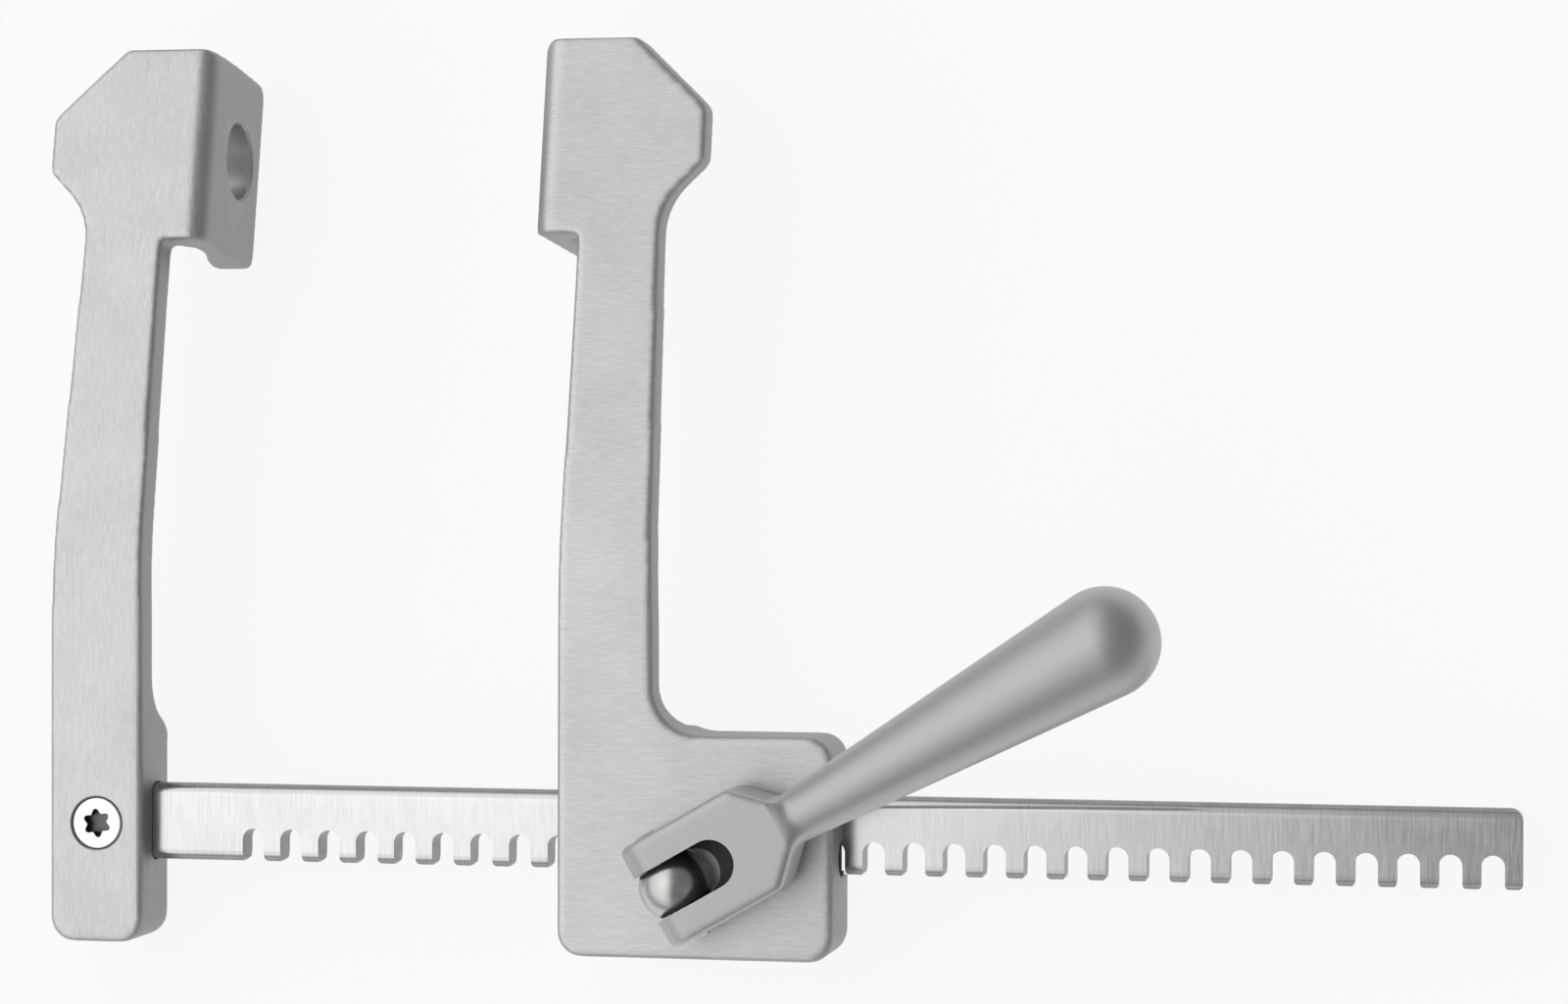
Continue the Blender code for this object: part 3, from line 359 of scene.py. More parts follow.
    def remeshed(self, voxel: float, smoothing: int) -> "Blank":
        """Melts the blank into even small faces.

        Args:
            voxel: Size of the faces.
            smoothing: Rounds of smoothing after it.

        Returns:
            This blank.
        """
        with self.modified() as item:
            remesh = item.modifiers.new("remesh", "REMESH")
            remesh.mode = "VOXEL"
            remesh.voxel_size = voxel
            smooth = item.modifiers.new("smooth", "SMOOTH")
            smooth.factor = 0.5
            smooth.iterations = smoothing
        return self

    def thinned(self) -> "Blank":
        """Joins the small faces of flat stretches."""
        with self.opened() as work:
            bmesh.ops.dissolve_limit(work, angle_limit=math.radians(0.3), verts=work.verts, edges=work.edges)
        return self

    def repeated(self, tree: Tree, **values: object) -> "Blank":
        """Repeats the blank by a geometry node tree.

        Args:
            tree: The tree, whose first input is the blank.
            **values: The tree's other inputs by name.

        Returns:
            This blank, made of all the copies.
        """
        with self.modified() as item:
            repeat = item.modifiers.new("repeat", "NODES")
            repeat.node_group = tree
            for socket in tree.interface.items_tree:
                if socket.name in values:
                    repeat[socket.identifier] = values[socket.name]
        return self

    def piece(self, name: str, finishes: Sequence[bpy.types.Material], smooth: float = 32.0) -> bpy.types.Object:
        """Finishes the blank as a piece of the model, in the world's metres.

        Args:
            name: The piece's name.
            finishes: Its material, and a second one for painted faces.
            smooth: Angle in degrees under which an edge is shaded smooth.

        Returns:
            The object, at the origin with its place in its mesh.
        """
        self.mark_edges()
        self.mesh.transform(DRAWING.to_world())
        slots = [face.material_index for face in self.mesh.polygons]
        self.mesh.materials.clear()
        for finish in finishes:
            self.mesh.materials.append(finish)
        self.mesh.polygons.foreach_set("material_index", [min(slot, len(finishes) - 1) for slot in slots])
        self.mesh.shade_smooth()
        self.mesh.set_sharp_from_angle(angle=math.radians(smooth))
        item = linked(name, self.mesh)
        weighted = item.modifiers.new("weighted", "WEIGHTED_NORMAL")
        weighted.keep_sharp = True
        weighted.weight = 60
        mesh = evaluated(item)
        item.modifiers.clear()
        item.data = mesh
        mesh.name = name
        mark_front(mesh)
        return item

    def paint(self, wanted: Test) -> "Blank":
        """Gives the second finish to the faces whose middle passes a test, and the first to the others."""
        while len(self.mesh.materials) < 2:
            self.mesh.materials.append(None)
        for face in self.mesh.polygons:
            face.material_index = int(wanted(face.center))
        return self

    def eased(self, rounds: int, wanted: Test) -> "Blank":
        """Smooths the points that pass a test, rounds times over."""
        with self.opened() as work:
            verts = [vert for vert in work.verts if wanted(vert.co)]
            for _ in range(rounds):
                bmesh.ops.smooth_vert(work, verts=verts, factor=0.5, use_axis_x=True, use_axis_y=True, use_axis_z=True)
        return self

    def mark_edges(self, least_span: float = 0.25, gain: float = 0.9) -> None:
        """Stores on each point how sharply the surface turns outwards there, for the wear of the edges.

        Args:
            least_span: Shortest distance to a neighbour that counts, so that tiny faces aren't all edge.
            gain: Mark of a point that turns by one radian over one millimetre.
        """
        work = bmesh.new()
        work.from_mesh(self.mesh)
        turns = []
        for vert in work.verts:
            bends = [edge.calc_face_angle_signed(0.0) for edge in vert.link_edges if edge.is_manifold]
            spans = [edge.calc_length() for edge in vert.link_edges]
            reach = max(min(spans, default=1.0), least_span)
            turns.append(min(1.0, max(0.0, max(bends, default=0.0) / reach * gain)))
        work.free()
        self.mesh.attributes.new("edge", "FLOAT", "POINT").data.foreach_set("value", turns)


def mark_front(mesh: bpy.types.Mesh) -> None:
    """Stores on each corner of a placed mesh, from 0 to 1, how squarely it faces like the flat or leaning front; away
    from it the finishes fade into the sides' painted shade.
    """
    shares = []
    for corner in mesh.corner_normals:
        normal = corner.vector
        lean = min(0.0, max(-DRAWING.bend, math.atan2(normal.y, normal.z)))
        nearest = Vector((0.0, math.sin(lean), math.cos(lean)))
        tilt = math.degrees(math.acos(max(-1.0, min(1.0, normal.dot(nearest)))))
        share = min(1.0, max(0.0, (FRONT_ENDS - tilt) / (FRONT_ENDS - FRONT_FADES)))
        shares.append(share * share * (3.0 - 2.0 * share))
    mesh.attributes.new("front", "FLOAT", "CORNER").data.foreach_set("value", shares)


def evaluated(item: bpy.types.Object) -> bpy.types.Mesh:
    """A plain mesh of an object with its modifiers worked in."""
    bpy.context.view_layer.update()
    depsgraph = bpy.context.evaluated_depsgraph_get()
    return bpy.data.meshes.new_from_object(item.evaluated_get(depsgraph), depsgraph=depsgraph)


def linked(name: str, data: bpy.types.ID) -> bpy.types.Object:
    """A new object of the scene with the given data."""
    item = bpy.data.objects.new(name, data)
    bpy.context.scene.collection.objects.link(item)
    return item


def fill(tree: Tree, node: Node, inputs: Inputs) -> None:
    """Sets a node's inputs.

    Args:
        tree: The node's tree.
        node: The node.
        inputs: Values to set or sockets to link, by the inputs' names or numbers.
    """
    for key, value in inputs.items():
        if isinstance(value, Socket):
            tree.links.new(value, node.inputs[key])
        else:
            node.inputs[key].default_value = value


def add_node(tree: Tree, kind: str, inputs: Inputs | None = None, **settings: object) -> Node:
    """Adds a node to a tree.

    Args:
        tree: The tree.
        kind: The node's type.
        inputs: Its inputs, as for fill.
        **settings: The node's own settings, which are made first.

    Returns:
        The node.
    """
    node = tree.nodes.new(kind)
    for name, value in settings.items():
        setattr(node, name, value)
    fill(tree, node, inputs or {})
    return node


def new_group(name: str, kind: str, given: dict[str, str], result: dict[str, str]) -> Tree:
    """Makes an empty node group.

    Args:
        name: The group's name.
        kind: The type of its tree.
        given: Its inputs by name, each with the end of its socket type's name.
        result: Its outputs, likewise.

    Returns:
        The group's tree.
    """
    tree = bpy.data.node_groups.new(name, kind)
    for way, sockets in (("INPUT", given), ("OUTPUT", result)):
        for label, socket in sockets.items():
            tree.interface.new_socket(label, in_out=way, socket_type="NodeSocket" + socket)
    return tree


class RepeatTrees:
    """Geometry node trees that repeat a blank in a row or at the corners of a rectangle."""

    def __init__(self) -> None:
        """Builds both trees."""
        self.row = self.build("row_of_copies", {"Count": "Int", "Pitch": "Float"}, self.row_points)
        self.rectangle = self.build("rectangle_of_copies", {"Width": "Float", "Height": "Float"}, self.corner_points)

    @staticmethod
    def build(name: str, sizes: dict[str, str], points: Callable[[Tree, Node], Socket]) -> Tree:
        """Builds one tree.

        Args:
            name: The tree's name.
            sizes: Its inputs by name, with their socket types.
            points: Method that adds the nodes which make the copies' points.

        Returns:
            The tree: blank, sizes and finish in, realized copies out.
        """
        inputs = {"Blank": "Geometry", **sizes, "Finish": "Material"}
        tree = new_group(name, "GeometryNodeTree", inputs, {"Copies": "Geometry"})
        given = add_node(tree, "NodeGroupInput")
        spread = {"Points": points(tree, given), "Instance": given.outputs["Blank"]}
        copies = add_node(tree, "GeometryNodeInstanceOnPoints", spread)
        realize = add_node(tree, "GeometryNodeRealizeInstances", {"Geometry": copies.outputs["Instances"]})
        dressed = {"Geometry": realize.outputs["Geometry"], "Material": given.outputs["Finish"]}
        finish = add_node(tree, "GeometryNodeSetMaterial", dressed)
        add_node(tree, "NodeGroupOutput", {"Copies": finish.outputs["Geometry"]})
        return tree

    @staticmethod
    def row_points(tree: Tree, given: Node) -> Socket:
        """Points one pitch apart along x, the first at the origin."""
        offset = add_node(tree, "ShaderNodeCombineXYZ", {"X": given.outputs["Pitch"]})
        inputs = {"Count": given.outputs["Count"], "Offset": offset.outputs["Vector"]}
        return add_node(tree, "GeometryNodeMeshLine", inputs).outputs["Mesh"]

    @staticmethod
    def corner_points(tree: Tree, given: Node) -> Socket:
        """Points at the corners of a rectangle about the origin."""
        sizes = {"Size X": given.outputs["Width"], "Size Y": given.outputs["Height"]}
        return add_node(tree, "GeometryNodeMeshGrid", {"Vertices X": 2, "Vertices Y": 2, **sizes}).outputs["Mesh"]


class EffectGroups:
    """Shader node groups that several finishes share: streaks, grain and worn edges."""

    def __init__(self) -> None:
        """Builds the groups."""
        self.streaks = self.build_noise_group("brush_streaks", cloudy=True)
        self.grain = self.build_noise_group("blasted_grain", cloudy=False)
        self.wear = self.build_wear_group()

    @staticmethod
    def build_noise_group(name: str, cloudy: bool) -> Tree:
        """Builds a group of two noises.

        Args:
            name: The group's name.
            cloudy: Whether the second noise is a slow cloud, and not a second grain.

        Returns:
            The group: Vector and Fineness (per metre) in, Tone and Height out, both 0 to 1.
        """
        inputs = {"Vector": "Vector", "Fineness": "Vector"}
        tree = new_group(name, "ShaderNodeTree", inputs, {"Tone": "Float", "Height": "Float"})
        given = add_node(tree, "NodeGroupInput")
        where = given.outputs["Vector"]
        scaled = add_node(tree, "ShaderNodeVectorMath", {0: where, 1: given.outputs["Fineness"]}, operation="MULTIPLY")
        fine = {"Vector": scaled.outputs[0], "Scale": 1.0, "Detail": 3.0, "Roughness": 0.6}
        height = add_node(tree, "ShaderNodeTexNoise", fine).outputs["Fac"]
        coarse = {"Vector": where, "Scale": 60.0 if cloudy else 2600.0, "Detail": 2.0}
        second = add_node(tree, "ShaderNodeTexNoise", coarse).outputs["Fac"]
        blend = add_node(tree, "ShaderNodeMix", {"Factor": 0.3 if cloudy else 0.5, "A": height, "B": second})
        add_node(tree, "NodeGroupOutput", {"Tone": blend.outputs["Result"], "Height": height})
        return tree

    @staticmethod
    def build_wear_group() -> Tree:
        """Builds the group for polished edges.

        Returns:
            The group: Vector, Edge and Amount in, Mask out.
        """
        inputs = {"Vector": "Vector", "Edge": "Float", "Amount": "Float"}
        tree = new_group("worn_edges", "ShaderNodeTree", inputs, {"Mask": "Float"})
        given = add_node(tree, "NodeGroupInput")
        where = {"Vector": given.outputs["Vector"], "Scale": 350.0, "Detail": 3.0}
        patches = add_node(tree, "ShaderNodeTexNoise", where).outputs["Fac"]
        spread = add_node(tree, "ShaderNodeMapRange", {"Value": patches, "From Min": 0.35, "From Max": 0.7})
        factors = {0: spread.outputs["Result"], 1: given.outputs["Edge"]}
        broken = add_node(tree, "ShaderNodeMath", factors, operation="MULTIPLY")
        factors = {0: broken.outputs[0], 1: given.outputs["Amount"]}
        mask = add_node(tree, "ShaderNodeMath", factors, operation="MULTIPLY", use_clamp=True)
        add_node(tree, "NodeGroupOutput", {"Mask": mask.outputs[0]})
        return tree


@dataclass(frozen=True)
class Surface:
    """One way to work a metal surface.

    Attributes:
        colour: Plain linear colour.
        roughness: Mean roughness.
        fineness: Streaks or grains per metre along the drawing's x, y and z.
        streaked: Whether the marks are brush streaks, and not blasted grain.
        tone: How far the marks lighten and darken the colour.
        rough_spread: How far the marks change the roughness.
    """

    colour: tuple[float, float, float]
    roughness: float
    fineness: tuple[float, float, float]
    streaked: bool = True
    tone: float = 0.05
    rough_spread: float = 0.1

    def place(self, tree: Tree, groups: EffectGroups, where: Socket) -> tuple[Socket, Socket, Socket]:
        """Adds the surface's nodes to a material.

        Args:
            tree: The material's tree.
            groups: The shared effect groups.
            where: Coordinates of the marks.

        Returns:
            Colour, roughness and height of the surface.
        """
        group = groups.streaks if self.streaked else groups.grain
        marks = add_node(tree, "ShaderNodeGroup", {"Vector": where, "Fineness": self.fineness}, node_tree=group)
        tone = marks.outputs["Tone"]
        tones = add_node(tree, "ShaderNodeValToRGB", {"Fac": tone})
        dark, light = tones.color_ramp.elements
        dark.position, light.position = 0.3, 0.7
        dark.color = (*(value * (1.0 - self.tone) for value in self.colour), 1.0)
        light.color = (*(min(1.0, value * (1.0 + self.tone)) for value in self.colour), 1.0)
        ends = {"To Min": self.roughness - self.rough_spread / 2, "To Max": self.roughness + self.rough_spread / 2}
        spread = add_node(tree, "ShaderNodeMapRange", {"Value": tone, "From Min": 0.25, "From Max": 0.75, **ends})
        return tones.outputs["Color"], spread.outputs["Result"], marks.outputs["Height"]


@dataclass(frozen=True)
class Finish:
    """A metal finish: one surface all over, or one on the front that fades into another on the sides, whose darker
    colour is painted shade.

    Attributes:
        name: Name of the material.
        metallic: Metallic value.
        front: The surface, or the front's surface.
        side: The surface of sides and back, where it differs; its darker colour is painted shade.
        bump: Height of the marks in millimetres.
        wear: How bright worn edges are.
    """

    name: str
    metallic: float
    front: Surface
    side: Surface | None = None
    bump: float = 0.004
    wear: float = 0.1

    def material(self, groups: EffectGroups) -> bpy.types.Material:
        """Builds the finish's material.

        Args:
            groups: The shared effect groups.

        Returns:
            The node material.
        """
        material = bpy.data.materials.new(self.name)
        material.use_nodes = True
        tree = material.node_tree
        place = add_node(tree, "ShaderNodeTexCoord").outputs["Object"]
        turned = {"Vector": place, "Rotation": (-DRAWING.bend, 0.0, 0.0)}
        where = add_node(tree, "ShaderNodeMapping", turned).outputs["Vector"]
        looks = self.front.place(tree, groups, where)
        # Turning away from the front, the colour fades into the side's darker one: painted shade.
        if self.side:
            share = add_node(tree, "ShaderNodeAttribute", attribute_name="front").outputs["Fac"]
            pairs = zip(("RGBA", "FLOAT", "FLOAT"), self.side.place(tree, groups, where), looks)
            looks = [self.mixed(tree, kind, share, side, front) for kind, side, front in pairs]
        colour, roughness, height = looks
        edge = add_node(tree, "ShaderNodeAttribute", attribute_name="edge").outputs["Fac"]
        inputs = {"Vector": where, "Edge": edge, "Amount": self.wear}
        worn = add_node(tree, "ShaderNodeGroup", inputs, node_tree=groups.wear).outputs["Mask"]
        bright = (*(min(0.9, value * 1.35) for value in self.front.colour), 1.0)
        relief = {"Strength": 1.0, "Distance": self.bump / 1000.0, "Height": height}
        shader = {
            "Metallic": self.metallic,
            "Base Color": self.mixed(tree, "RGBA", worn, colour, bright),
            "Roughness": roughness,
            "Normal": add_node(tree, "ShaderNodeBump", relief).outputs["Normal"],
        }
        fill(tree, tree.nodes["Principled BSDF"], shader)
        return material

    @staticmethod
    def mixed(tree: Tree, kind: str, share: Socket, low: Socket, high: object) -> Socket:
        """Mixes two looks.

        Args:
            tree: The material's tree.
            kind: The mix node's data type.
            share: How much of the second shows.
            low: The first.
            high: The second, a socket or a plain value.

        Returns:
            The mixed socket.
        """
        return add_node(tree, "ShaderNodeMix", {"Factor": share, "A": low, "B": high}, data_type=kind).outputs["Result"]


class Finishes:
    """All the finishes of the instrument, as materials."""

    def __init__(self) -> None:
        """Builds every material once."""
        groups = EffectGroups()
        alloy, grain = (0.64, 0.637, 0.635), (3600.0,) * 3
        up = Surface(alloy, 0.42, (3800.0, 420.0, 420.0), tone=0.18)
        along = Surface(alloy, 0.42, (420.0, 3800.0, 3800.0), tone=0.18)
        # The sides' blasted grain and roughness are their own; their colour, darker than the blasted grip's, is painted
        # shade.
        sides = Surface((0.35, 0.348, 0.342), 0.52, grain, False, 0.07)
        grip = Surface((0.52, 0.517, 0.51), 0.48, grain, False, 0.06)
        # Near-black: a painted shade for the inside of the handle's slot.
        slot = Surface((0.07, 0.069, 0.067), 0.7, grain, False, 0.08)
        rack_front = Surface((0.62, 0.615, 0.606), 0.2, (2600.0, 150.0, 150.0), tone=0.17, rough_spread=0.14)
        # The rack's sides: their own fine grain, in a dark colour that is painted shade.
        rack_side_shaded = Surface((0.21, 0.208, 0.2), 0.34, (2600.0,) * 3, False, 0.08)
        polished = Surface((0.58, 0.575, 0.56), 0.3, (900.0, 900.0, 3000.0), tone=0.1)
        screw = Surface((0.78, 0.775, 0.77), 0.24, (1500.0,) * 3, False, 0.03, 0.06)
        # Near-black: a painted shade for the inside of the screw's drive recess.
        recess = Surface((0.16, 0.158, 0.155), 0.42, (2500.0,) * 3, False, 0.1)
        bronze = Surface((0.5, 0.33, 0.15), 0.35, (700.0, 700.0, 5200.0), tone=0.08)
        self.brushed_up = Finish("alloy_brushed_up", 0.85, up, sides)
        self.brushed_along = Finish("alloy_brushed_along", 0.85, along, sides)
        self.handle = Finish("handle_blasted", 0.85, grip, bump=0.003)
        self.slot = Finish("handle_slot_shade", 0.3, slot, wear=0.3)
        self.rack = Finish("rack_steel_brushed", 1.0, rack_front, rack_side_shaded, 0.002)
        self.polished = Finish("steel_polished", 1.0, polished, bump=0.001)
        self.screw = Finish("screw_steel", 1.0, screw, bump=0.0008)
        self.recess = Finish("screw_recess_shade", 1.0, recess)
        self.bronze = Finish("bush_bronze", 1.0, bronze, bump=0.002)
        for key, finish in list(vars(self).items()):
            setattr(self, key, finish.material(groups))


@dataclass
class Dressing:
    """What every sub-assembly needs to dress its pieces.

    Attributes:
        finishes: The materials.
        trees: The trees that repeat blanks.
    """

    finishes: Finishes
    trees: RepeatTrees

    def attach(self, item: bpy.types.Object, body: str, nodes: Sequence[str]) -> None:
        """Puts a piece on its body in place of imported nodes, and reports it.

        Args:
            item: The finished piece.
            body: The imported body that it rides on.
            nodes: The nodes that it stands for.
        """
        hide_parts(*nodes)
        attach(item, body)
        low = [min(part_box(node)[0][axis] for node in nodes) for axis in range(3)]
        high = [max(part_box(node)[1][axis] for node in nodes) for axis in range(3)]
        corners = [vert.co for vert in item.data.vertices]
        off = max(
            max(abs(min(co[axis] for co in corners) - low[axis]), abs(max(co[axis] for co in corners) - high[axis]))
            for axis in range(3)
        )
        log.info("%s: %d faces, %.2f mm from its solid's box", item.name, len(item.data.polygons), off * 1000)


@dataclass
class Arm:
    """What both arms share: a flat arm that bends back, a six-sided head and a flange with a round socket."""

    front: float
    inner_x: float
    inward: float
    thickness: float = 6.5
    width: float = 18.5
    outer_taper: float = 2.05
    inner_taper: float = 0.7
    taper_start: float = 45.0
    bend_height: float = 59.2
    bend_radius: float = 82.0
    corner_radius: float = 4.6
    head_bottom: float = 119.2
    head_top: float = 156.8
    head_width: float = 32.4
    top_chamfer: float = 14.2
    side_top: float = 143.0
    side_bottom: float = 132.5
    shoulder_radius: float = 13.0
    relief_room: float = 12.0
    flange_room: float = 10.0
    flange_reach: float = 7.7
    flange_thickness: float = 7.2
    flange_waist: float = 4.8
    swell_start: float = 16.0
    swell_end: float = 7.0
    swell_radius: float = 12.0
    flange_droop: float = math.radians(9.7)
    top_droop: float = math.radians(9.7)
    flange_corner: float = 3.0
    flange_hollow: float = 5.0
    flange_fillet: float = 3.6
    socket_diameter: float = 15.0
    socket_chamfer: float = 0.5
    socket_height: float = 135.6
    socket_inset: float = 12.2
    softness: int = 18

    def x_at(self, offset: float) -> float:
        """Drawing x of a line that lies offset outwards from the arm's inner edge."""
        return self.inner_x - self.inward * offset

    def head_corners(self) -> list[Corner]:
        """Plan corners from the inner edge up, round the head and down the outer edge."""
        outer = self.head_width - self.flange_reach
        shoulder_y = self.side_bottom - (outer - self.width + self.outer_taper)
        return [
            (self.x_at(0), self.taper_start, self.bend_radius),
            (self.x_at(self.inner_taper), self.head_bottom - self.flange_room, 0.0),
            (self.x_at(-self.flange_reach), self.head_bottom - self.flange_room, 0.0),
            (self.x_at(-self.flange_reach), self.head_top, self.flange_corner),
            (self.x_at(outer - self.top_chamfer), self.head_top, self.flange_corner),
            (self.x_at(outer), self.side_top, self.flange_corner),
            (self.x_at(outer), self.side_bottom, self.flange_corner),
            (self.x_at(self.width - self.outer_taper), shoulder_y, self.shoulder_radius),
            (self.x_at(self.width), self.taper_start, self.bend_radius),
        ]

    def front_z(self, y: float) -> float:
        """Height of the leaning front at y, above the bend."""
        return self.front - (y - self.bend_height) * DRAWING.slope

    def flange_end(self, y: float, droop: float) -> Point:
        """Where the flange's end face, drooping from the front at y, meets the floor."""
        floor = (0.0, DRAWING.floor_z(0.0))
        return crossing((y, self.front_z(y)), 1.0 / math.tan(droop), floor, -DRAWING.slope)

    def side_corners(
        self, bottom: float, back: float, step: tuple[float, float], blend: float, edge: float
    ) -> list[Corner]:
        """Side corners (y, z) of block, bent plate, head and flange.

        Args:
            bottom: Lower end of the block.
            back: Its back face.
            step: Where the step between them meets the back face and the plate.
            blend: Radius of the hollow between the block and the plate.
            edge: Radius of the step's edge.

        Returns:
            The corners with their radii.
        """
        plate_back = self.front - self.thickness
        back_line = (self.bend_height, self.front - self.thickness / math.cos(DRAWING.bend))
        bend_y, _ = crossing((0.0, plate_back), 0.0, back_line, -DRAWING.slope)
        lower = (self.head_bottom, self.front_z(self.head_bottom))
        inner = crossing(lower, 1.0 / math.tan(self.flange_droop), back_line, -DRAWING.slope)
        return [
            (bottom, self.front, 0.0),
            (self.bend_height, self.front, self.bend_radius),
            (self.head_top, self.front_z(self.head_top), 0.0),
            (*self.flange_end(self.head_top, self.top_droop), self.flange_corner),
            (*self.flange_end(self.head_bottom, self.flange_droop), self.flange_corner),
            (*inner, 0.0),
            (bend_y, plate_back, self.bend_radius - self.thickness),
            (step[1], plate_back, blend),
            (step[0], back, edge),
            (bottom, back, 0.0),
        ]

    def rough(self, plan: list[Corner], side: list[Corner]) -> Blank:
        """Plan and side cut into each other, less what lies behind the head's plate."""
        arm = Blank.prism(rounded_outline(plan), *ROOM_Z, Plane.XY)
        arm.combined(Blank.prism(rounded_outline(side), *ROOM_X, Plane.YZ), Cut.WITHIN)
        return arm.cut(self.relief(), self.plate_end()).welded(WELD)

    def plate_end(self) -> Blank:
        """Tool that ends the head's plate in line with the flange's drooping lower end."""
        front = self.front_z(self.head_bottom)
        low, high = front - 2 * self.thickness, self.front + PAST
        low_y = self.head_bottom - self.flange_room - PAST
        low_end, high_end = (self.head_bottom + (z - front) * math.tan(self.flange_droop) for z in (low, high))
        outline = [(low_y, low), (low_end, low), (high_end, high), (low_y, high)]
        edge, outside = self.x_at(self.inner_taper), self.x_at(-self.flange_reach - PAST)
        return Blank.prism(outline, min(edge, outside), max(edge, outside), Plane.YZ)

    def relief(self) -> Blank:
        """Tool for the hollow behind the head, which leaves the plate and the swelling flange."""
        thin, thick = (self.x_at(reach - self.flange_reach) for reach in (self.flange_waist, self.flange_thickness))
        far = self.x_at(self.head_width + PAST)
        plate = -self.thickness / math.cos(DRAWING.bend)
        back = DRAWING.floor_z(0.0) - self.front_z(0.0)
        corners = [
            (plate, thin, self.flange_hollow),
            (plate, far, 0.0),
            (back - PAST, far, 0.0),
            (back - PAST, thick, 0.0),
            (back + self.swell_end, thick, self.swell_radius),
            (back + self.swell_start, thin, self.swell_radius),
        ]
        return self.along_head(rounded_outline(corners))

    def along_head(self, outline: Sequence[Vector | Point]) -> Blank:
        """Tool from below the head to above it, sheared to lie along its leaning front.

        Args:
            outline: Points (z, x), with z from the front.

        Returns:
            The tool.
        """
        lean = Matrix.Identity(4)
        lean[2][1] = -DRAWING.slope
        lean[2][3] = self.front_z(0.0)
        low, high = self.head_bottom - self.relief_room, self.head_top + PAST
        return Blank.prism(outline, low, high, Plane.ZX).moved(lean)

    def softened(self, arm: Blank, back: float, back_fillet: float) -> Blank:
        """Rounds the flange's front edge and the block's back edges widely, and all other edges a little.

        Args:
            arm: The rough arm.
            back: The block's back face.
            back_fillet: Radius of its edges.

        Returns:
            The same arm.
        """
        arm.rounded(back_fillet, 4, lambda co: abs(co.z - back) < 0.2 and co.y < self.head_bottom)
        arm.cut(self.flange_rounding())
        return arm.remeshed(0.5, self.softness).thinned()

    def flange_rounding(self) -> Blank:
        """Tool that rounds the flange's inner front edge."""
        radius, steps = self.flange_fillet, 12
        middle = self.x_at(radius - self.flange_reach)
        outside = self.x_at(-self.flange_reach - PAST)
        outline = [(PAST, middle), (PAST, outside), (-radius, outside)]
        for n in range(steps + 1):
            angle = math.pi / 2 * n / steps
            outline.append((radius * (math.sin(angle) - 1.0), middle + self.inward * radius * math.cos(angle)))
        return self.along_head(outline)

    def socket(self) -> Blank:
        """Tool for the blade socket and its chamfer."""
        radius = self.socket_diameter / 2
        depth = self.flange_thickness + PAST
        profile = [
            (0.0, PAST),
            (radius + self.socket_chamfer + PAST, PAST),
            (radius, -self.socket_chamfer),
            (radius, -depth),
            (0.0, -depth),
        ]
        height = DRAWING.floor_z(self.socket_height) + self.socket_inset / math.cos(DRAWING.bend)
        face = self.inner_x + self.inward * self.flange_reach
        place = Matrix.Translation((face, self.socket_height, height))
        return Blank.turned(profile).moved(place @ Matrix.Rotation(self.inward * math.pi / 2, 4, "Y"))


def countersink(head: float, shank: float, rim: float, depth: float, gap: float) -> Blank:
    """Tool for a countersunk screw's seat, its face at z = 0.

    Args:
        head: Diameter of the screw's head.
        shank: Diameter of its shank.
        rim: Height of the cylinder above the cone.
        depth: Depth of the bore.
        gap: Clearance round the screw.

    Returns:
        The tool, bore towards -z.
    """
    wide, narrow, flare = head / 2 + gap, shank / 2 + gap, 0.25
    profile = [(0.0, PAST), (wide + (flare + PAST), PAST), (wide + flare, 0.0), (wide, -flare), (wide, -rim)]
    profile += [(narrow, -rim - wide + narrow), (narrow, -depth), (0.0, -depth)]
    return Blank.turned(profile)


def countersunk_screw(head: float, shank: float, rim: float, length: float, lip: float) -> Blank:
    """A countersunk screw without its drive recess, its face at z = 0.

    Args:
        head: Diameter of the head.
        shank: Diameter of the shank.
        rim: Height of the head's cylinder.
        length: Whole length.
        lip: Width of the head's rounded edge.

    Returns:
        The screw, shank towards -z.
    """
    edge, steps, tip = head / 2 - lip, 5, 0.5
    profile = [(0.0, 0.0), (edge, 0.0)]
    for n in range(1, steps + 1):
        angle = math.pi / 2 * n / steps
        profile.append((edge + lip * math.sin(angle), -lip * (1.0 - math.cos(angle))))
    profile += [(head / 2, -rim), (shank / 2, -rim - (head - shank) / 2), (shank / 2, tip - length)]
    profile += [(shank / 2 - tip, -length), (0.0, -length)]
    return Blank.turned(profile, 64)


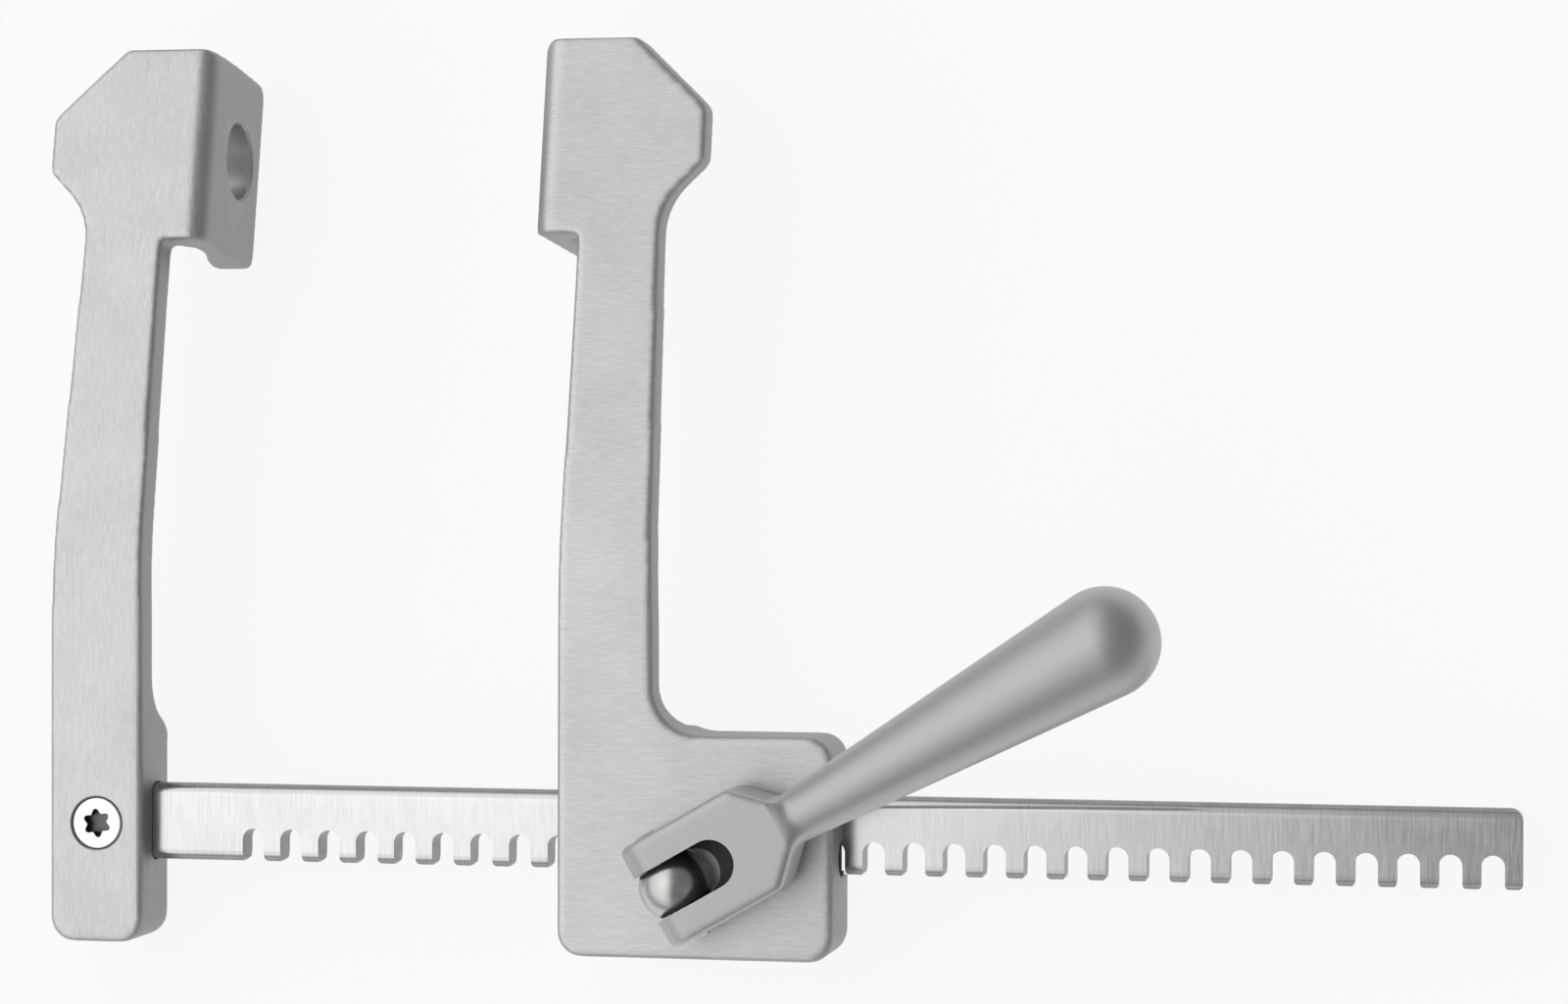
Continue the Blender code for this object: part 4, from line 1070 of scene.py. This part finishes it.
@dataclass
class FixedArm(Arm):
    """The fixed arm with its foot, the slot for the rack and the rack screw."""

    front: float = 5.8
    inner_x: float = -18.1
    inward: float = 1.0
    foot_bottom: float = -15.4
    foot_step: tuple[float, float] = (24.9, 30.15)
    foot_blend: float = 9.5
    foot_edge: float = 5.0
    back_fillet: float = 1.6
    slot_start: float = -34.2
    seat_depth: float = 14.4
    screw_diameter: float = 5.0
    screw_head: float = 9.8
    screw_rim: float = 0.5
    screw_lip: float = 0.35
    screw_tip: float = -8.4
    lobe_diameter: float = 5.4
    lobe_swing: float = 0.15
    lobe_turn: float = math.radians(37.0)
    lobe_depth: float = 2.2
    lobe_lip: float = 0.12

    def build(self, dressing: Dressing) -> None:
        """Builds and dresses the fixed arm and its screw."""
        plan = [(self.x_at(self.width), self.foot_bottom, self.corner_radius)]
        plan += [(self.inner_x, self.foot_bottom, self.corner_radius), *self.head_corners()]
        back = DRAWING.heel_back
        side = self.side_corners(self.foot_bottom, back, self.foot_step, self.foot_blend, self.foot_edge)
        arm = self.rough(plan, side)
        self.softened(arm, back, self.back_fillet)
        gap = DRAWING.seat_gap
        slot = Rack().section(gap, self.slot_start - gap, self.inner_x + PAST)
        rim = self.screw_rim + gap
        seat = countersink(self.screw_head, self.screw_diameter, rim, self.seat_depth, DRAWING.bore_gap)
        seat.moved(DRAWING.at_screw(self.front))
        arm.cut(slot, self.socket(), seat)
        item = arm.piece("fixed_arm_body", (dressing.finishes.brushed_up,))
        dressing.attach(item, "fixed_frame", ["fixed_arm"])
        self.build_screw(dressing)

    def build_screw(self, dressing: Dressing) -> None:
        """Builds and dresses the rack screw with its six-lobe recess."""
        face = self.front - DRAWING.seat_gap
        length = face - self.screw_tip
        screw = countersunk_screw(self.screw_head, self.screw_diameter, self.screw_rim, length, self.screw_lip)
        wide, steps = self.lobe_diameter / 2, 120
        lobes = []
        for n in range(steps):
            angle = math.tau * n / steps
            radius = wide * (1 - self.lobe_swing + self.lobe_swing * math.cos(6 * angle))
            lobes.append((radius * math.cos(angle + self.lobe_turn), radius * math.sin(angle + self.lobe_turn)))
        screw.cut(Blank.prism(lobes, -self.lobe_depth, PAST, Plane.XY))
        screw.rounded(self.lobe_lip, 2, lambda co: co.z > -0.01 and co.xy.length < self.lobe_diameter)
        # The recess's walls and floor get the near-black second finish: painted shade.
        screw.paint(lambda co: -self.lobe_depth - 0.1 < co.z < -0.1 and co.xy.length < wide)
        screw.moved(DRAWING.at_screw(face))
        item = screw.piece("rack_screw_body", (dressing.finishes.screw, dressing.finishes.recess))
        dressing.attach(item, "fixed_frame", ["rack_screw"])


@dataclass
class Rack:
    """The rack bar with its round-topped notches."""

    notch_count: int = 32
    notch_depth: float = 6.3
    tooth_corner: float = 0.5
    edge_radius: float = 2.1
    start: float = -34.0
    tail: float = 3.2
    tip_top_radius: float = 2.4
    tip_low_radius: float = 1.2
    bore_radius: float = 2.65

    def section(self, gap: float, low_x: float, high_x: float) -> Blank:
        """The bar's section, grown by gap all round, from low_x to high_x."""
        radius = self.edge_radius + gap
        low, high = DRAWING.rack_back - gap, DRAWING.rack_height + gap
        corners = [(-gap, low, radius), (high, low, radius), (high, gap, radius), (-gap, gap, radius)]
        return Blank.prism(rounded_outline(corners), low_x, high_x, Plane.YZ)

    def notch(self) -> Blank:
        """Tool for one notch, its mouth flared by the rounded tooth corners."""
        right, flare, top = DRAWING.notch_width, self.tooth_corner, DRAWING.notch_width / 2
        corners = [
            (right + flare, -PAST, 0.0),
            (right + flare, 0.0, 0.0),
            (right, flare, flare),
            (right, self.notch_depth, top),
            (0.0, self.notch_depth, top),
            (0.0, flare, flare),
            (-flare, 0.0, 0.0),
            (-flare, -PAST, 0.0),
        ]
        return Blank.prism(rounded_outline(corners), BEHIND, AHEAD, Plane.XY)

    def build(self, dressing: Dressing) -> None:
        """Builds and dresses the bar."""
        end = DRAWING.rack_pitch * (self.notch_count - 1) + DRAWING.notch_width + self.tail
        corners = [
            (self.start - PAST, -PAST, 0.0),
            (end - self.tail, -PAST, 0.0),
            (end - self.tail, 0.0, 0.0),
            (end, 0.0, self.tip_low_radius),
            (end, DRAWING.rack_height, self.tip_top_radius),
            (self.start - PAST, DRAWING.rack_height, 0.0),
        ]
        bar = self.section(0.0, self.start, end)
        bar.combined(Blank.prism(rounded_outline(corners), BEHIND, AHEAD, Plane.XY), Cut.WITHIN)
        notches = self.notch().repeated(dressing.trees.row, Count=self.notch_count, Pitch=DRAWING.rack_pitch)
        bore = Blank.rod(self.bore_radius, BEHIND, AHEAD).moved(DRAWING.at_screw(0.0))
        bar.cut(notches, bore).welded(FINE_WELD)
        item = bar.piece("rack_bar_body", (dressing.finishes.rack,))
        dressing.attach(item, "fixed_frame", ["rack_bar"])


@dataclass
class MovableArm(Arm):
    """The sliding arm with its housing, back cover, cover screws, bushes and washer."""

    front: float = 11.8
    inner_x: float = 64.7
    inward: float = -1.0
    width: float = 18.2
    outer_taper: float = 1.85
    inner_taper: float = 0.6
    flange_reach: float = 7.95
    flange_droop: float = math.radians(5.0)
    housing_width: float = 52.3
    side_trim: float = 0.4
    housing_top: float = 26.2
    block_top: float = 27.2
    housing_bottom: float = -14.9
    housing_blend: float = 9.0
    housing_back: float = -6.3
    back_fillet: float = 2.6
    foot_blend: float = 6.6
    web_gap: float = 0.15
    pocket_radius: float = 6.45
    pocket_front: float = 2.55
    bush_radius: float = 6.2
    relief_diameter: float = 6.8
    relief_y: float = 3.4
    relief_z: float = 2.6
    cover_inset: float = 4.2
    cover_corner: float = 2.5
    cover_edge: float = 0.6
    cover_front: float = -6.5
    screw_inset: float = 8.8
    screw_diameter: float = 2.5
    screw_head: float = 4.8
    screw_rim: float = 0.3
    screw_lip: float = 0.15
    screw_length: float = 8.0
    tapped_radius: float = 1.4
    socket_flats: float = 1.8
    recess_radius: float = 7.6
    recess_back: float = -8.15

    @property
    def outer_x(self) -> float:
        """The housing's free side face."""
        return self.inner_x + self.housing_width

    @property
    def cover_back(self) -> float:
        """The cover's back face."""
        return DRAWING.floor_z(self.housing_bottom + self.cover_inset + self.cover_edge)

    def rectangle(self, inset: float, radius: float) -> list[Vector]:
        """The housing's outline, drawn in by inset."""
        left, right = self.inner_x + inset, self.outer_x - inset
        low, high = self.housing_bottom + inset, self.housing_top - inset
        return rounded_outline([(left, low, radius), (right, low, radius), (right, high, radius), (left, high, radius)])

    def at_screws(self) -> Matrix:
        """Middle of the four cover screws, on the cover's back, -z pointing into the housing."""
        middle = (self.inner_x + self.outer_x) / 2, (self.housing_bottom + self.housing_top) / 2, self.cover_back
        return Matrix.Translation(middle) @ Matrix.Rotation(math.pi, 4, "X")

    def screw_spread(self) -> dict[str, float]:
        """Distances between the cover screws, as inputs of the rectangle tree."""
        inset = 2 * self.screw_inset
        return {"Width": self.housing_width - inset, "Height": self.housing_top - self.housing_bottom - inset}

    def build(self, dressing: Dressing) -> None:
        """Builds and dresses the whole sliding arm."""
        outer, free = self.inner_x + self.width, self.outer_x - self.side_trim
        plan = [(self.inner_x, self.housing_bottom, self.corner_radius), *self.head_corners()]
        plan += [(outer, self.housing_top, self.housing_blend), (free, self.housing_top, self.corner_radius)]
        plan.append((free, self.housing_bottom, self.corner_radius))
        step = (self.block_top, self.block_top)
        side = self.side_corners(self.housing_bottom, self.housing_back, step, self.foot_blend, 0.0)
        arm = self.rough(plan, side)
        self.softened(arm, self.housing_back, self.back_fillet)
        gap = DRAWING.slide_gap
        low, high = -gap, DRAWING.rack_height + gap
        through = self.outer_x + PAST
        back = DRAWING.rack_back - self.web_gap
        for depth, far in ((BEHIND, self.outer_x - self.cover_inset), (back, through)):
            channel = [(low, depth), (high, depth), (high, gap), (low, gap)]
            arm.cut(Blank.prism(channel, self.inner_x - PAST, far, Plane.YZ))
        pocket = Blank.rod(self.pocket_radius, BEHIND, self.pocket_front)
        bush_bore = Blank.rod(self.bush_radius, self.pocket_front - DRAWING.seat_gap, self.front + PAST)
        arm.cut(pocket.moved(DRAWING.at_shaft()), bush_bore.moved(DRAWING.at_shaft()))
        groove = Blank.rod(self.relief_diameter / 2, DRAWING.shaft_x, through)
        along = Matrix.Translation((0.0, self.relief_y, self.relief_z)) @ Matrix.Rotation(math.pi / 2, 4, "Y")
        arm.cut(groove.moved(along), self.socket())
        tapped = Blank.rod(self.tapped_radius, -self.screw_length - DRAWING.seat_gap, PAST, 32)
        tapped.repeated(dressing.trees.rectangle, **self.screw_spread())
        arm.cut(tapped.moved(self.at_screws()))
        item = arm.piece("movable_arm_body", (dressing.finishes.brushed_along,))
        dressing.attach(item, "sliding_arm", ["movable_arm"])
        self.build_cover(dressing)
        self.build_rings(dressing)

    def build_cover(self, dressing: Dressing) -> None:
        """Builds and dresses the back cover and its four screws."""
        outline = self.rectangle(self.cover_inset, self.cover_corner)
        cover = Blank.prism(outline, self.cover_back, self.cover_front, Plane.XY)
        cover.rounded(self.cover_edge, 4, lambda co: co.z < self.cover_back + 0.1)
        cover.cut(Blank.rod(self.recess_radius, self.recess_back, PAST).moved(DRAWING.at_shaft()))
        gap = DRAWING.seat_gap
        rim, depth = self.screw_rim + gap, self.screw_length
        seats = countersink(self.screw_head, self.screw_diameter, rim, depth, DRAWING.bore_gap)
        seats.repeated(dressing.trees.rectangle, **self.screw_spread())
        cover.cut(seats.moved(self.at_screws()))
        finishes = dressing.finishes
        item = cover.piece("housing_back_cover_plate", (finishes.brushed_along,))
        dressing.attach(item, "sliding_arm", ["housing_back_cover"])
        length = self.screw_length - gap
        screw = countersunk_screw(self.screw_head, self.screw_diameter, self.screw_rim, length, self.screw_lip)
        flats, angles = self.socket_flats / 2, [math.tau * n / 6 for n in range(6)]
        hexagon = [(flats * math.cos(angle), flats * math.sin(angle)) for angle in angles]
        screw.cut(Blank.prism(hexagon, -1.0, PAST, Plane.XY))
        screw.repeated(dressing.trees.rectangle, Finish=finishes.screw, **self.screw_spread())
        screws = screw.moved(self.at_screws() @ Matrix.Translation((0.0, 0.0, -gap)))
        item = screws.piece("cover_screws", (finishes.screw,))
        nodes = [f"cover_screw_{number}" for number in range(1, 5)]
        dressing.attach(item, "sliding_arm", nodes)

    def build_rings(self, dressing: Dressing) -> None:
        """Builds and dresses the two bushes and the thrust washer."""
        bronze, polished = dressing.finishes.bronze, dressing.finishes.polished
        # Name, inner and outer radius, back, front, finish and slot of each ring.
        rings = (
            ("front_bush", 4.65, 6.05, self.pocket_front, self.front - 0.15, bronze, "bearing_bronze"),
            ("rear_bush", 6.45, 7.45, -7.9, self.cover_front, bronze, "bearing_bronze"),
            ("thrust_washer", 4.65, 6.25, self.front + 0.15, self.front + 0.95, polished, "polished_steel"),
        )
        for name, inner, outer, low, high, finish, slot in rings:
            lip = 0.12
            profile = [(inner, low), (inner, high), (outer - lip, high), (outer, high - lip), (outer, low + lip)]
            profile += [(outer - lip, low), (inner, low)]
            item = Blank.turned(profile).moved(DRAWING.at_shaft()).piece(name + "_ring", (finish,))
            dressing.attach(item, "sliding_arm", [name])


@dataclass
class Crank:
    """The crank shaft with its knuckle, the lantern pinion and the hinge pin."""

    shaft_diameter: float = 9.0
    spigot_diameter: float = 5.0
    knuckle_diameter: float = 12.5
    knuckle_flats: float = 8.7
    knuckle_above_pin: float = 5.4
    knuckle_base: float = 12.9
    knuckle_lip: float = 0.15
    flat_edge: float = 0.3
    disc_diameter: float = 12.4
    disc_edge: float = 0.15
    front_disc: tuple[float, float] = (0.3, 2.3)
    rear_disc: tuple[float, float] = (-7.9, -6.1)
    drive_pin_diameter: float = 2.3
    hinge_diameter: float = 4.2
    hinge_length: float = 21.2
    tool_reach: float = 12.0

    def build(self, dressing: Dressing) -> None:
        """Builds and dresses every piece that turns with the shaft."""
        self.build_shaft(dressing)
        self.build_pinion(dressing)
        self.build_hinge_pin(dressing)

    def build_shaft(self, dressing: Dressing) -> None:
        """Shaft and domed knuckle with two flats."""
        radius, steps, reach = self.knuckle_diameter / 2, 24, self.tool_reach
        top, base, lip = DRAWING.hinge_z + self.knuckle_above_pin, self.knuckle_base, self.knuckle_lip
        profile: list[Point] = []
        for n in range(steps + 1):
            angle = math.pi / 2 * n / steps
            profile.append((radius * math.sin(angle), top - self.knuckle_above_pin * (1.0 - math.cos(angle))))
        shaft, spigot = self.shaft_diameter / 2, self.spigot_diameter / 2
        low, high = self.front_disc
        seat = high + DRAWING.seat_gap
        profile += [(radius, base + lip), (radius - lip, base), (shaft, base)]
        profile += [(shaft, seat), (spigot, seat), (spigot, low), (0.0, low)]
        body = Blank.turned(profile)
        flat = self.knuckle_flats / 2
        for near, far in ((flat, reach), (-reach, -flat)):
            square = [(-reach, near), (reach, near), (reach, far), (-reach, far)]
            body.cut(Blank.prism(square, base - lip / 2, top + PAST, Plane.XY))
        body.welded(FINE_WELD)
        body.rounded(self.flat_edge, 3, lambda co: abs(abs(co.y) - flat) < WELD and co.z > base + 0.4)
        bore = Blank.rod(self.hinge_diameter / 2 + DRAWING.bore_gap, -reach, reach)
        turn = Matrix.Translation((0.0, 0.0, DRAWING.hinge_z)) @ Matrix.Rotation(math.pi / 2, 4, "X")
        body.cut(bore.moved(turn))
        item = body.moved(DRAWING.crank_frame()).piece("crank_shaft_body", (dressing.finishes.polished,))
        dressing.attach(item, "crank", ["crank_shaft"])

    def build_pinion(self, dressing: Dressing) -> None:
        """Two discs and the row of two drive pins between them, on the rack's line."""
        pitch = DRAWING.rack_pitch
        at_first = DRAWING.at_shaft() @ Matrix.Translation((-pitch / 2, 0.0, 0.0))
        finish = dressing.finishes.polished
        for name, (low, high), hole in (
            ("pinion_front_disc", self.front_disc, self.spigot_diameter / 2 + DRAWING.bore_gap),
            ("pinion_rear_disc", self.rear_disc, 0.0),
        ):
            disc = Blank.rod(self.disc_diameter / 2, low, high)
            disc.rounded(self.disc_edge, 2, lambda co: co.xy.length > self.spigot_diameter)
            if hole:
                disc.cut(Blank.rod(hole, low - PAST, high + PAST))
            bores = Blank.rod(self.drive_pin_diameter / 2 + DRAWING.bore_gap, low - PAST, high + PAST, 48)
            bores.repeated(dressing.trees.row, Count=2, Pitch=pitch)
            disc.moved(DRAWING.at_shaft()).cut(bores.moved(at_first))
            dressing.attach(disc.piece(name + "_plate", (finish,)), "crank", [name])
        pin = Blank.rod(self.drive_pin_diameter / 2, self.rear_disc[0], self.front_disc[1], 48)
        pin.repeated(dressing.trees.row, Count=2, Pitch=pitch, Finish=finish)
        item = pin.moved(at_first).piece("drive_pins", (finish,))
        dressing.attach(item, "crank", ["drive_pin_1", "drive_pin_2"])

    def build_hinge_pin(self, dressing: Dressing) -> None:
        """Hinge pin with chamfered ends, across the knuckle."""
        half, radius, lip = self.hinge_length / 2, self.hinge_diameter / 2, 0.3
        profile = [(0.0, half), (radius - lip, half), (radius, half - lip), (radius, lip - half)]
        profile += [(radius - lip, -half), (0.0, -half)]
        place = DRAWING.crank_frame() @ Matrix.Translation((0.0, 0.0, DRAWING.hinge_z))
        pin = Blank.turned(profile, 48).moved(place @ Matrix.Rotation(math.pi / 2, 4, "X"))
        item = pin.piece("hinge_pin_body", (dressing.finishes.polished,))
        dressing.attach(item, "crank", ["hinge_pin"])


@dataclass
class Handle:
    """The folding crank handle: fork, neck and conical grip with a ball end."""

    width: float = 20.5
    end_radius: float = 5.5
    length: float = 19.0
    shoulder: float = 5.9
    fillet: float = 1.2
    slot_half: float = 4.5
    slot_reach: float = 14.2
    web_start: float = 4.4
    web_top: float = -2.4
    face_end: float = 25.6
    throat: float = 27.4
    neck_start: float = 22.0
    neck_radius: float = 4.5
    neck_core: float = 0.76
    ball_radius: float = 10.0
    ball_reach: float = 91.3
    bore_radius: float = 2.25
    grip_start: float = 15.0
    grip_steps: int = 40
    slot_open: float = -12.0
    tool_reach: float = 16.0

    def fork(self) -> Blank:
        """The fork's block, narrowing to the neck, with rounded edges."""
        half, neck = self.width / 2, self.neck_radius
        shoulder_end = self.length + self.shoulder
        end = shoulder_end + neck
        core = neck * self.neck_core
        back = -self.end_radius - PAST
        r = self.end_radius
        plan_half = [
            (end, core, 0.0),
            (shoulder_end, neck, neck),
            (self.length, half, self.fillet * 2),
            (back, half, 0.0),
        ]
        side_half = [
            (end, core, 0.0),
            (self.throat, core, self.fillet),
            (self.face_end, r, self.fillet),
            (-r, r, r),
        ]
        plan, side = (
            rounded_outline([(u, -v, radius) for u, v, radius in reversed(corners)] + corners)
            for corners in (plan_half, side_half)
        )
        fork = Blank.prism(plan, -2 * r, 2 * r, Plane.XY)
        fork.combined(Blank.prism(side, -2 * half, 2 * half, Plane.XZ), Cut.WITHIN)
        fork.welded(WELD)
        return fork.rounded(self.fillet, 4, lambda co: co.x < end - 0.06)

    def grip(self) -> Blank:
        """The turned grip, ball first."""
        slope = math.asin((self.ball_radius - self.neck_radius) / (self.ball_reach - self.neck_start))
        profile: list[Point] = []
        for n in range(self.grip_steps + 1):
            angle = (math.pi / 2 + slope) * n / self.grip_steps
            profile.append((self.ball_radius * math.sin(angle), self.ball_reach + self.ball_radius * math.cos(angle)))
        profile += [(self.neck_radius, self.neck_start), (self.neck_radius, self.grip_start), (0.0, self.grip_start)]
        return Blank.turned(profile).moved(Matrix.Rotation(math.pi / 2, 4, "Y"))

    def in_slot_shade(self, place: Vector) -> bool:
        """Whether a face lies in the slot, on its wall or floor inside its broken edges, where the shade is painted
        near-black.
        """
        past = place.x - (self.slot_reach - self.slot_half)
        across = math.hypot(max(0.0, past), place.y)
        return across < self.slot_half + 0.05 and abs(place.z) < self.end_radius - 0.1

    def build(self, dressing: Dressing) -> None:
        """Builds and dresses the handle."""
        handle = self.fork().beside(self.grip())
        handle.remeshed(0.4, 8)
        handle.eased(24, lambda co: self.throat - 3.0 < co.x < self.throat + 9.0)
        half = self.slot_half
        for low, end in ((self.web_top, self.slot_reach), (-self.tool_reach, self.web_start + half)):
            corners = [(self.slot_open, -half, 0.0), (end, -half, half - 0.01)]
            corners += [(end, half, half - 0.01), (self.slot_open, half, 0.0)]
            handle.cut(Blank.prism(rounded_outline(corners), low, self.tool_reach, Plane.XY))
        bore = Blank.rod(self.bore_radius, -2 * self.ball_radius, 2 * self.ball_radius)
        handle.cut(bore.moved(Matrix.Rotation(math.pi / 2, 4, "X")))
        # The slot's inside gets the near-black second finish: painted shade.
        handle.paint(self.in_slot_shade)
        handle.moved(DRAWING.handle_frame())
        item = handle.piece("crank_handle_body", (dressing.finishes.handle, dressing.finishes.slot), 40.0)
        dressing.attach(item, "handle", ["crank_handle"])


@dataclass
class Studio:
    """Floor, light and camera.

    Attributes:
        floor_size: Half length of the floor's sides, in metres.
        floor_drop: How far the floor lies under the heels, in metres.
        floor_colour: Linear grey of the floor.
        floor_glow: How much of the floor shows plain white, as a lit table does.
        bright: Strengths of the sky overhead, left and right.
        bright_span: Sine of the bearing to the right over which the first passes into the second.
        horizon: Strength of the light from the sides.
        horizon_span: Sine of the height over which the sides pass into the sky overhead.
        camera_place: The camera's place in the drawing, in millimetres.
        yaw: Turn of its view to the left of straight back.
        pitch: Rise of its view.
        roll: Turn about its view.
        focal_pixels: Its focal length in pixels of the picture.
        picture_width: The picture's width in pixels.
        sensor_width: The same width on the sensor, in millimetres.
        lamps: Name, place in metres, side in metres and watts of each lamp.
    """

    floor_size: float = 3.0
    floor_drop: float = 0.0002
    floor_colour: float = 0.93
    floor_glow: float = 0.9
    bright: tuple[float, float] = (1.2, 0.2)
    bright_span: tuple[float, float] = (-0.2, 0.04)
    horizon: float = 0.34
    horizon_span: tuple[float, float] = (0.1, 0.6)
    camera_place: tuple[float, float, float] = (241.44, 76.96, 697.28)
    yaw: float = math.radians(11.0648)
    pitch: float = math.radians(-0.6401)
    roll: float = math.radians(0.1336)
    focal_pixels: float = 3912.2
    picture_width: float = 1600.0
    sensor_width: float = 36.0
    lamps: list[tuple[str, tuple[float, float, float], float, float]] = field(
        default_factory=lambda: [
            ("key_softbox", (-0.55, -0.12, 1.9), 1.2, 1.3),
            ("fill_softbox", (0.85, -0.45, 0.8), 0.6, 0.1),
        ]
    )

    def build(self) -> None:
        """Builds the whole studio."""
        scene = bpy.context.scene
        scene.view_settings.view_transform = "Standard"
        self.build_floor()
        self.build_world(scene)
        for name, place, size, watts in self.lamps:
            self.build_lamp(name, place, size, watts)
        self.build_camera(scene)

    def build_floor(self) -> None:
        """Plain pale floor, a hair under the heels, that shows white where no shadow falls."""
        work = bmesh.new()
        bmesh.ops.create_grid(work, x_segments=8, y_segments=8, size=self.floor_size)
        mesh = bpy.data.meshes.new("floor")
        work.to_mesh(mesh)
        work.free()
        floor = linked("floor", mesh)
        floor.location.z = -self.floor_drop
        material = bpy.data.materials.new("floor_paper")
        material.use_nodes = True
        tree = material.node_tree
        shader = tree.nodes["Principled BSDF"]
        paper = {"Base Color": (self.floor_colour,) * 3 + (1.0,), "Roughness": 0.9, "Specular IOR Level": 0.1}
        fill(tree, shader, paper)
        self.add_glow(tree, shader)
        mesh.materials.append(material)

    def add_glow(self, tree: Tree, shader: Node) -> None:
        """Shows the floor partly as plain white to the camera and in reflections; its shadows stay."""
        path = add_node(tree, "ShaderNodeLightPath").outputs
        seen = path["Is Camera Ray"]
        for name in ("Is Glossy Ray", "Is Transmission Ray"):
            seen = add_node(tree, "ShaderNodeMath", {0: seen, 1: path[name]}, operation="MAXIMUM").outputs[0]
        share = add_node(tree, "ShaderNodeMath", {0: seen, 1: self.floor_glow}, operation="MULTIPLY")
        white = add_node(tree, "ShaderNodeEmission")
        inputs = {"Fac": share.outputs[0], 1: shader.outputs["BSDF"], 2: white.outputs["Emission"]}
        mix = add_node(tree, "ShaderNodeMixShader", inputs)
        fill(tree, tree.nodes["Material Output"], {"Surface": mix.outputs["Shader"]})

    @staticmethod
    def add_ramp(tree: Tree, value: Socket, span: Point, ends: tuple[object, object]) -> Socket:
        """Adds a smooth ramp.

        Args:
            tree: The tree that gets it.
            value: What it follows.
            span: Values at which it starts and ends.
            ends: Its own values there, or their sockets.

        Returns:
            The ramp's socket.
        """
        inputs = dict(zip(("Value", "From Min", "From Max", "To Min", "To Max"), (value, *span, *ends)))
        return add_node(tree, "ShaderNodeMapRange", inputs, interpolation_type="SMOOTHSTEP").outputs["Result"]

    def build_world(self, scene: bpy.types.Scene) -> None:
        """Soft light from above, strong on the left and weak on the right."""
        world = bpy.data.worlds.new("studio")
        world.use_nodes = True
        tree = world.node_tree
        place = add_node(tree, "ShaderNodeTexCoord")
        split = add_node(tree, "ShaderNodeSeparateXYZ", {"Vector": place.outputs["Generated"]})
        overhead = self.add_ramp(tree, split.outputs["X"], self.bright_span, self.bright)
        sky = self.add_ramp(tree, split.outputs["Z"], self.horizon_span, (self.horizon, overhead))
        fill(tree, tree.nodes["Background"], {"Color": sky, "Strength": 1.0})
        scene.world = world

    @staticmethod
    def build_lamp(name: str, place: tuple[float, float, float], size: float, watts: float) -> None:
        """A square soft lamp that points at the instrument.

        Args:
            name: The lamp's name.
            place: Where it hangs, in metres.
            size: Length of its sides.
            watts: Its power.
        """
        light = bpy.data.lights.new(name, "AREA")
        light.shape = "SQUARE"
        light.size = size
        light.energy = watts
        lamp = linked(name, light)
        lamp.location = place
        lamp.rotation_euler = (-Vector(place)).to_track_quat("-Z", "Y").to_euler()

    def build_camera(self, scene: bpy.types.Scene) -> None:
        """Camera where the photograph was taken from."""
        forward = Vector((-math.sin(self.yaw), 0.0, -math.cos(self.yaw)))
        side = Vector((math.cos(self.yaw), 0.0, -math.sin(self.yaw)))
        up = Vector((0.0, 1.0, 0.0))
        ahead = forward * math.cos(self.pitch) + up * math.sin(self.pitch)
        above = -forward * math.sin(self.pitch) + up * math.cos(self.pitch)
        right = side * math.cos(self.roll) + above * math.sin(self.roll)
        top = -side * math.sin(self.roll) + above * math.cos(self.roll)
        turn = Matrix((right, top, -ahead)).transposed().to_4x4()
        place = Matrix.Translation(DRAWING.to_world() @ Vector(self.camera_place))
        lens = bpy.data.cameras.new("camera")
        lens.sensor_width = self.sensor_width
        lens.lens = self.focal_pixels / self.picture_width * self.sensor_width
        lens.clip_start = 0.01
        lens.clip_end = 20.0
        camera = linked("camera", lens)
        camera.matrix_world = place @ Matrix.Rotation(DRAWING.bend, 4, "X") @ turn
        scene.camera = camera


def main() -> None:
    """Builds the studio and every sub-assembly, and logs each piece's faces and how far it lies from its solid's box.
    """
    logging.basicConfig(level=logging.INFO, format="%(name)s: %(message)s")
    Studio().build()
    dressing = Dressing(Finishes(), RepeatTrees())
    for part in (FixedArm(), Rack(), MovableArm(), Crank(), Handle()):
        log.info("building %s", type(part).__name__)
        part.build(dressing)


if __name__ == "__main__":
    main()
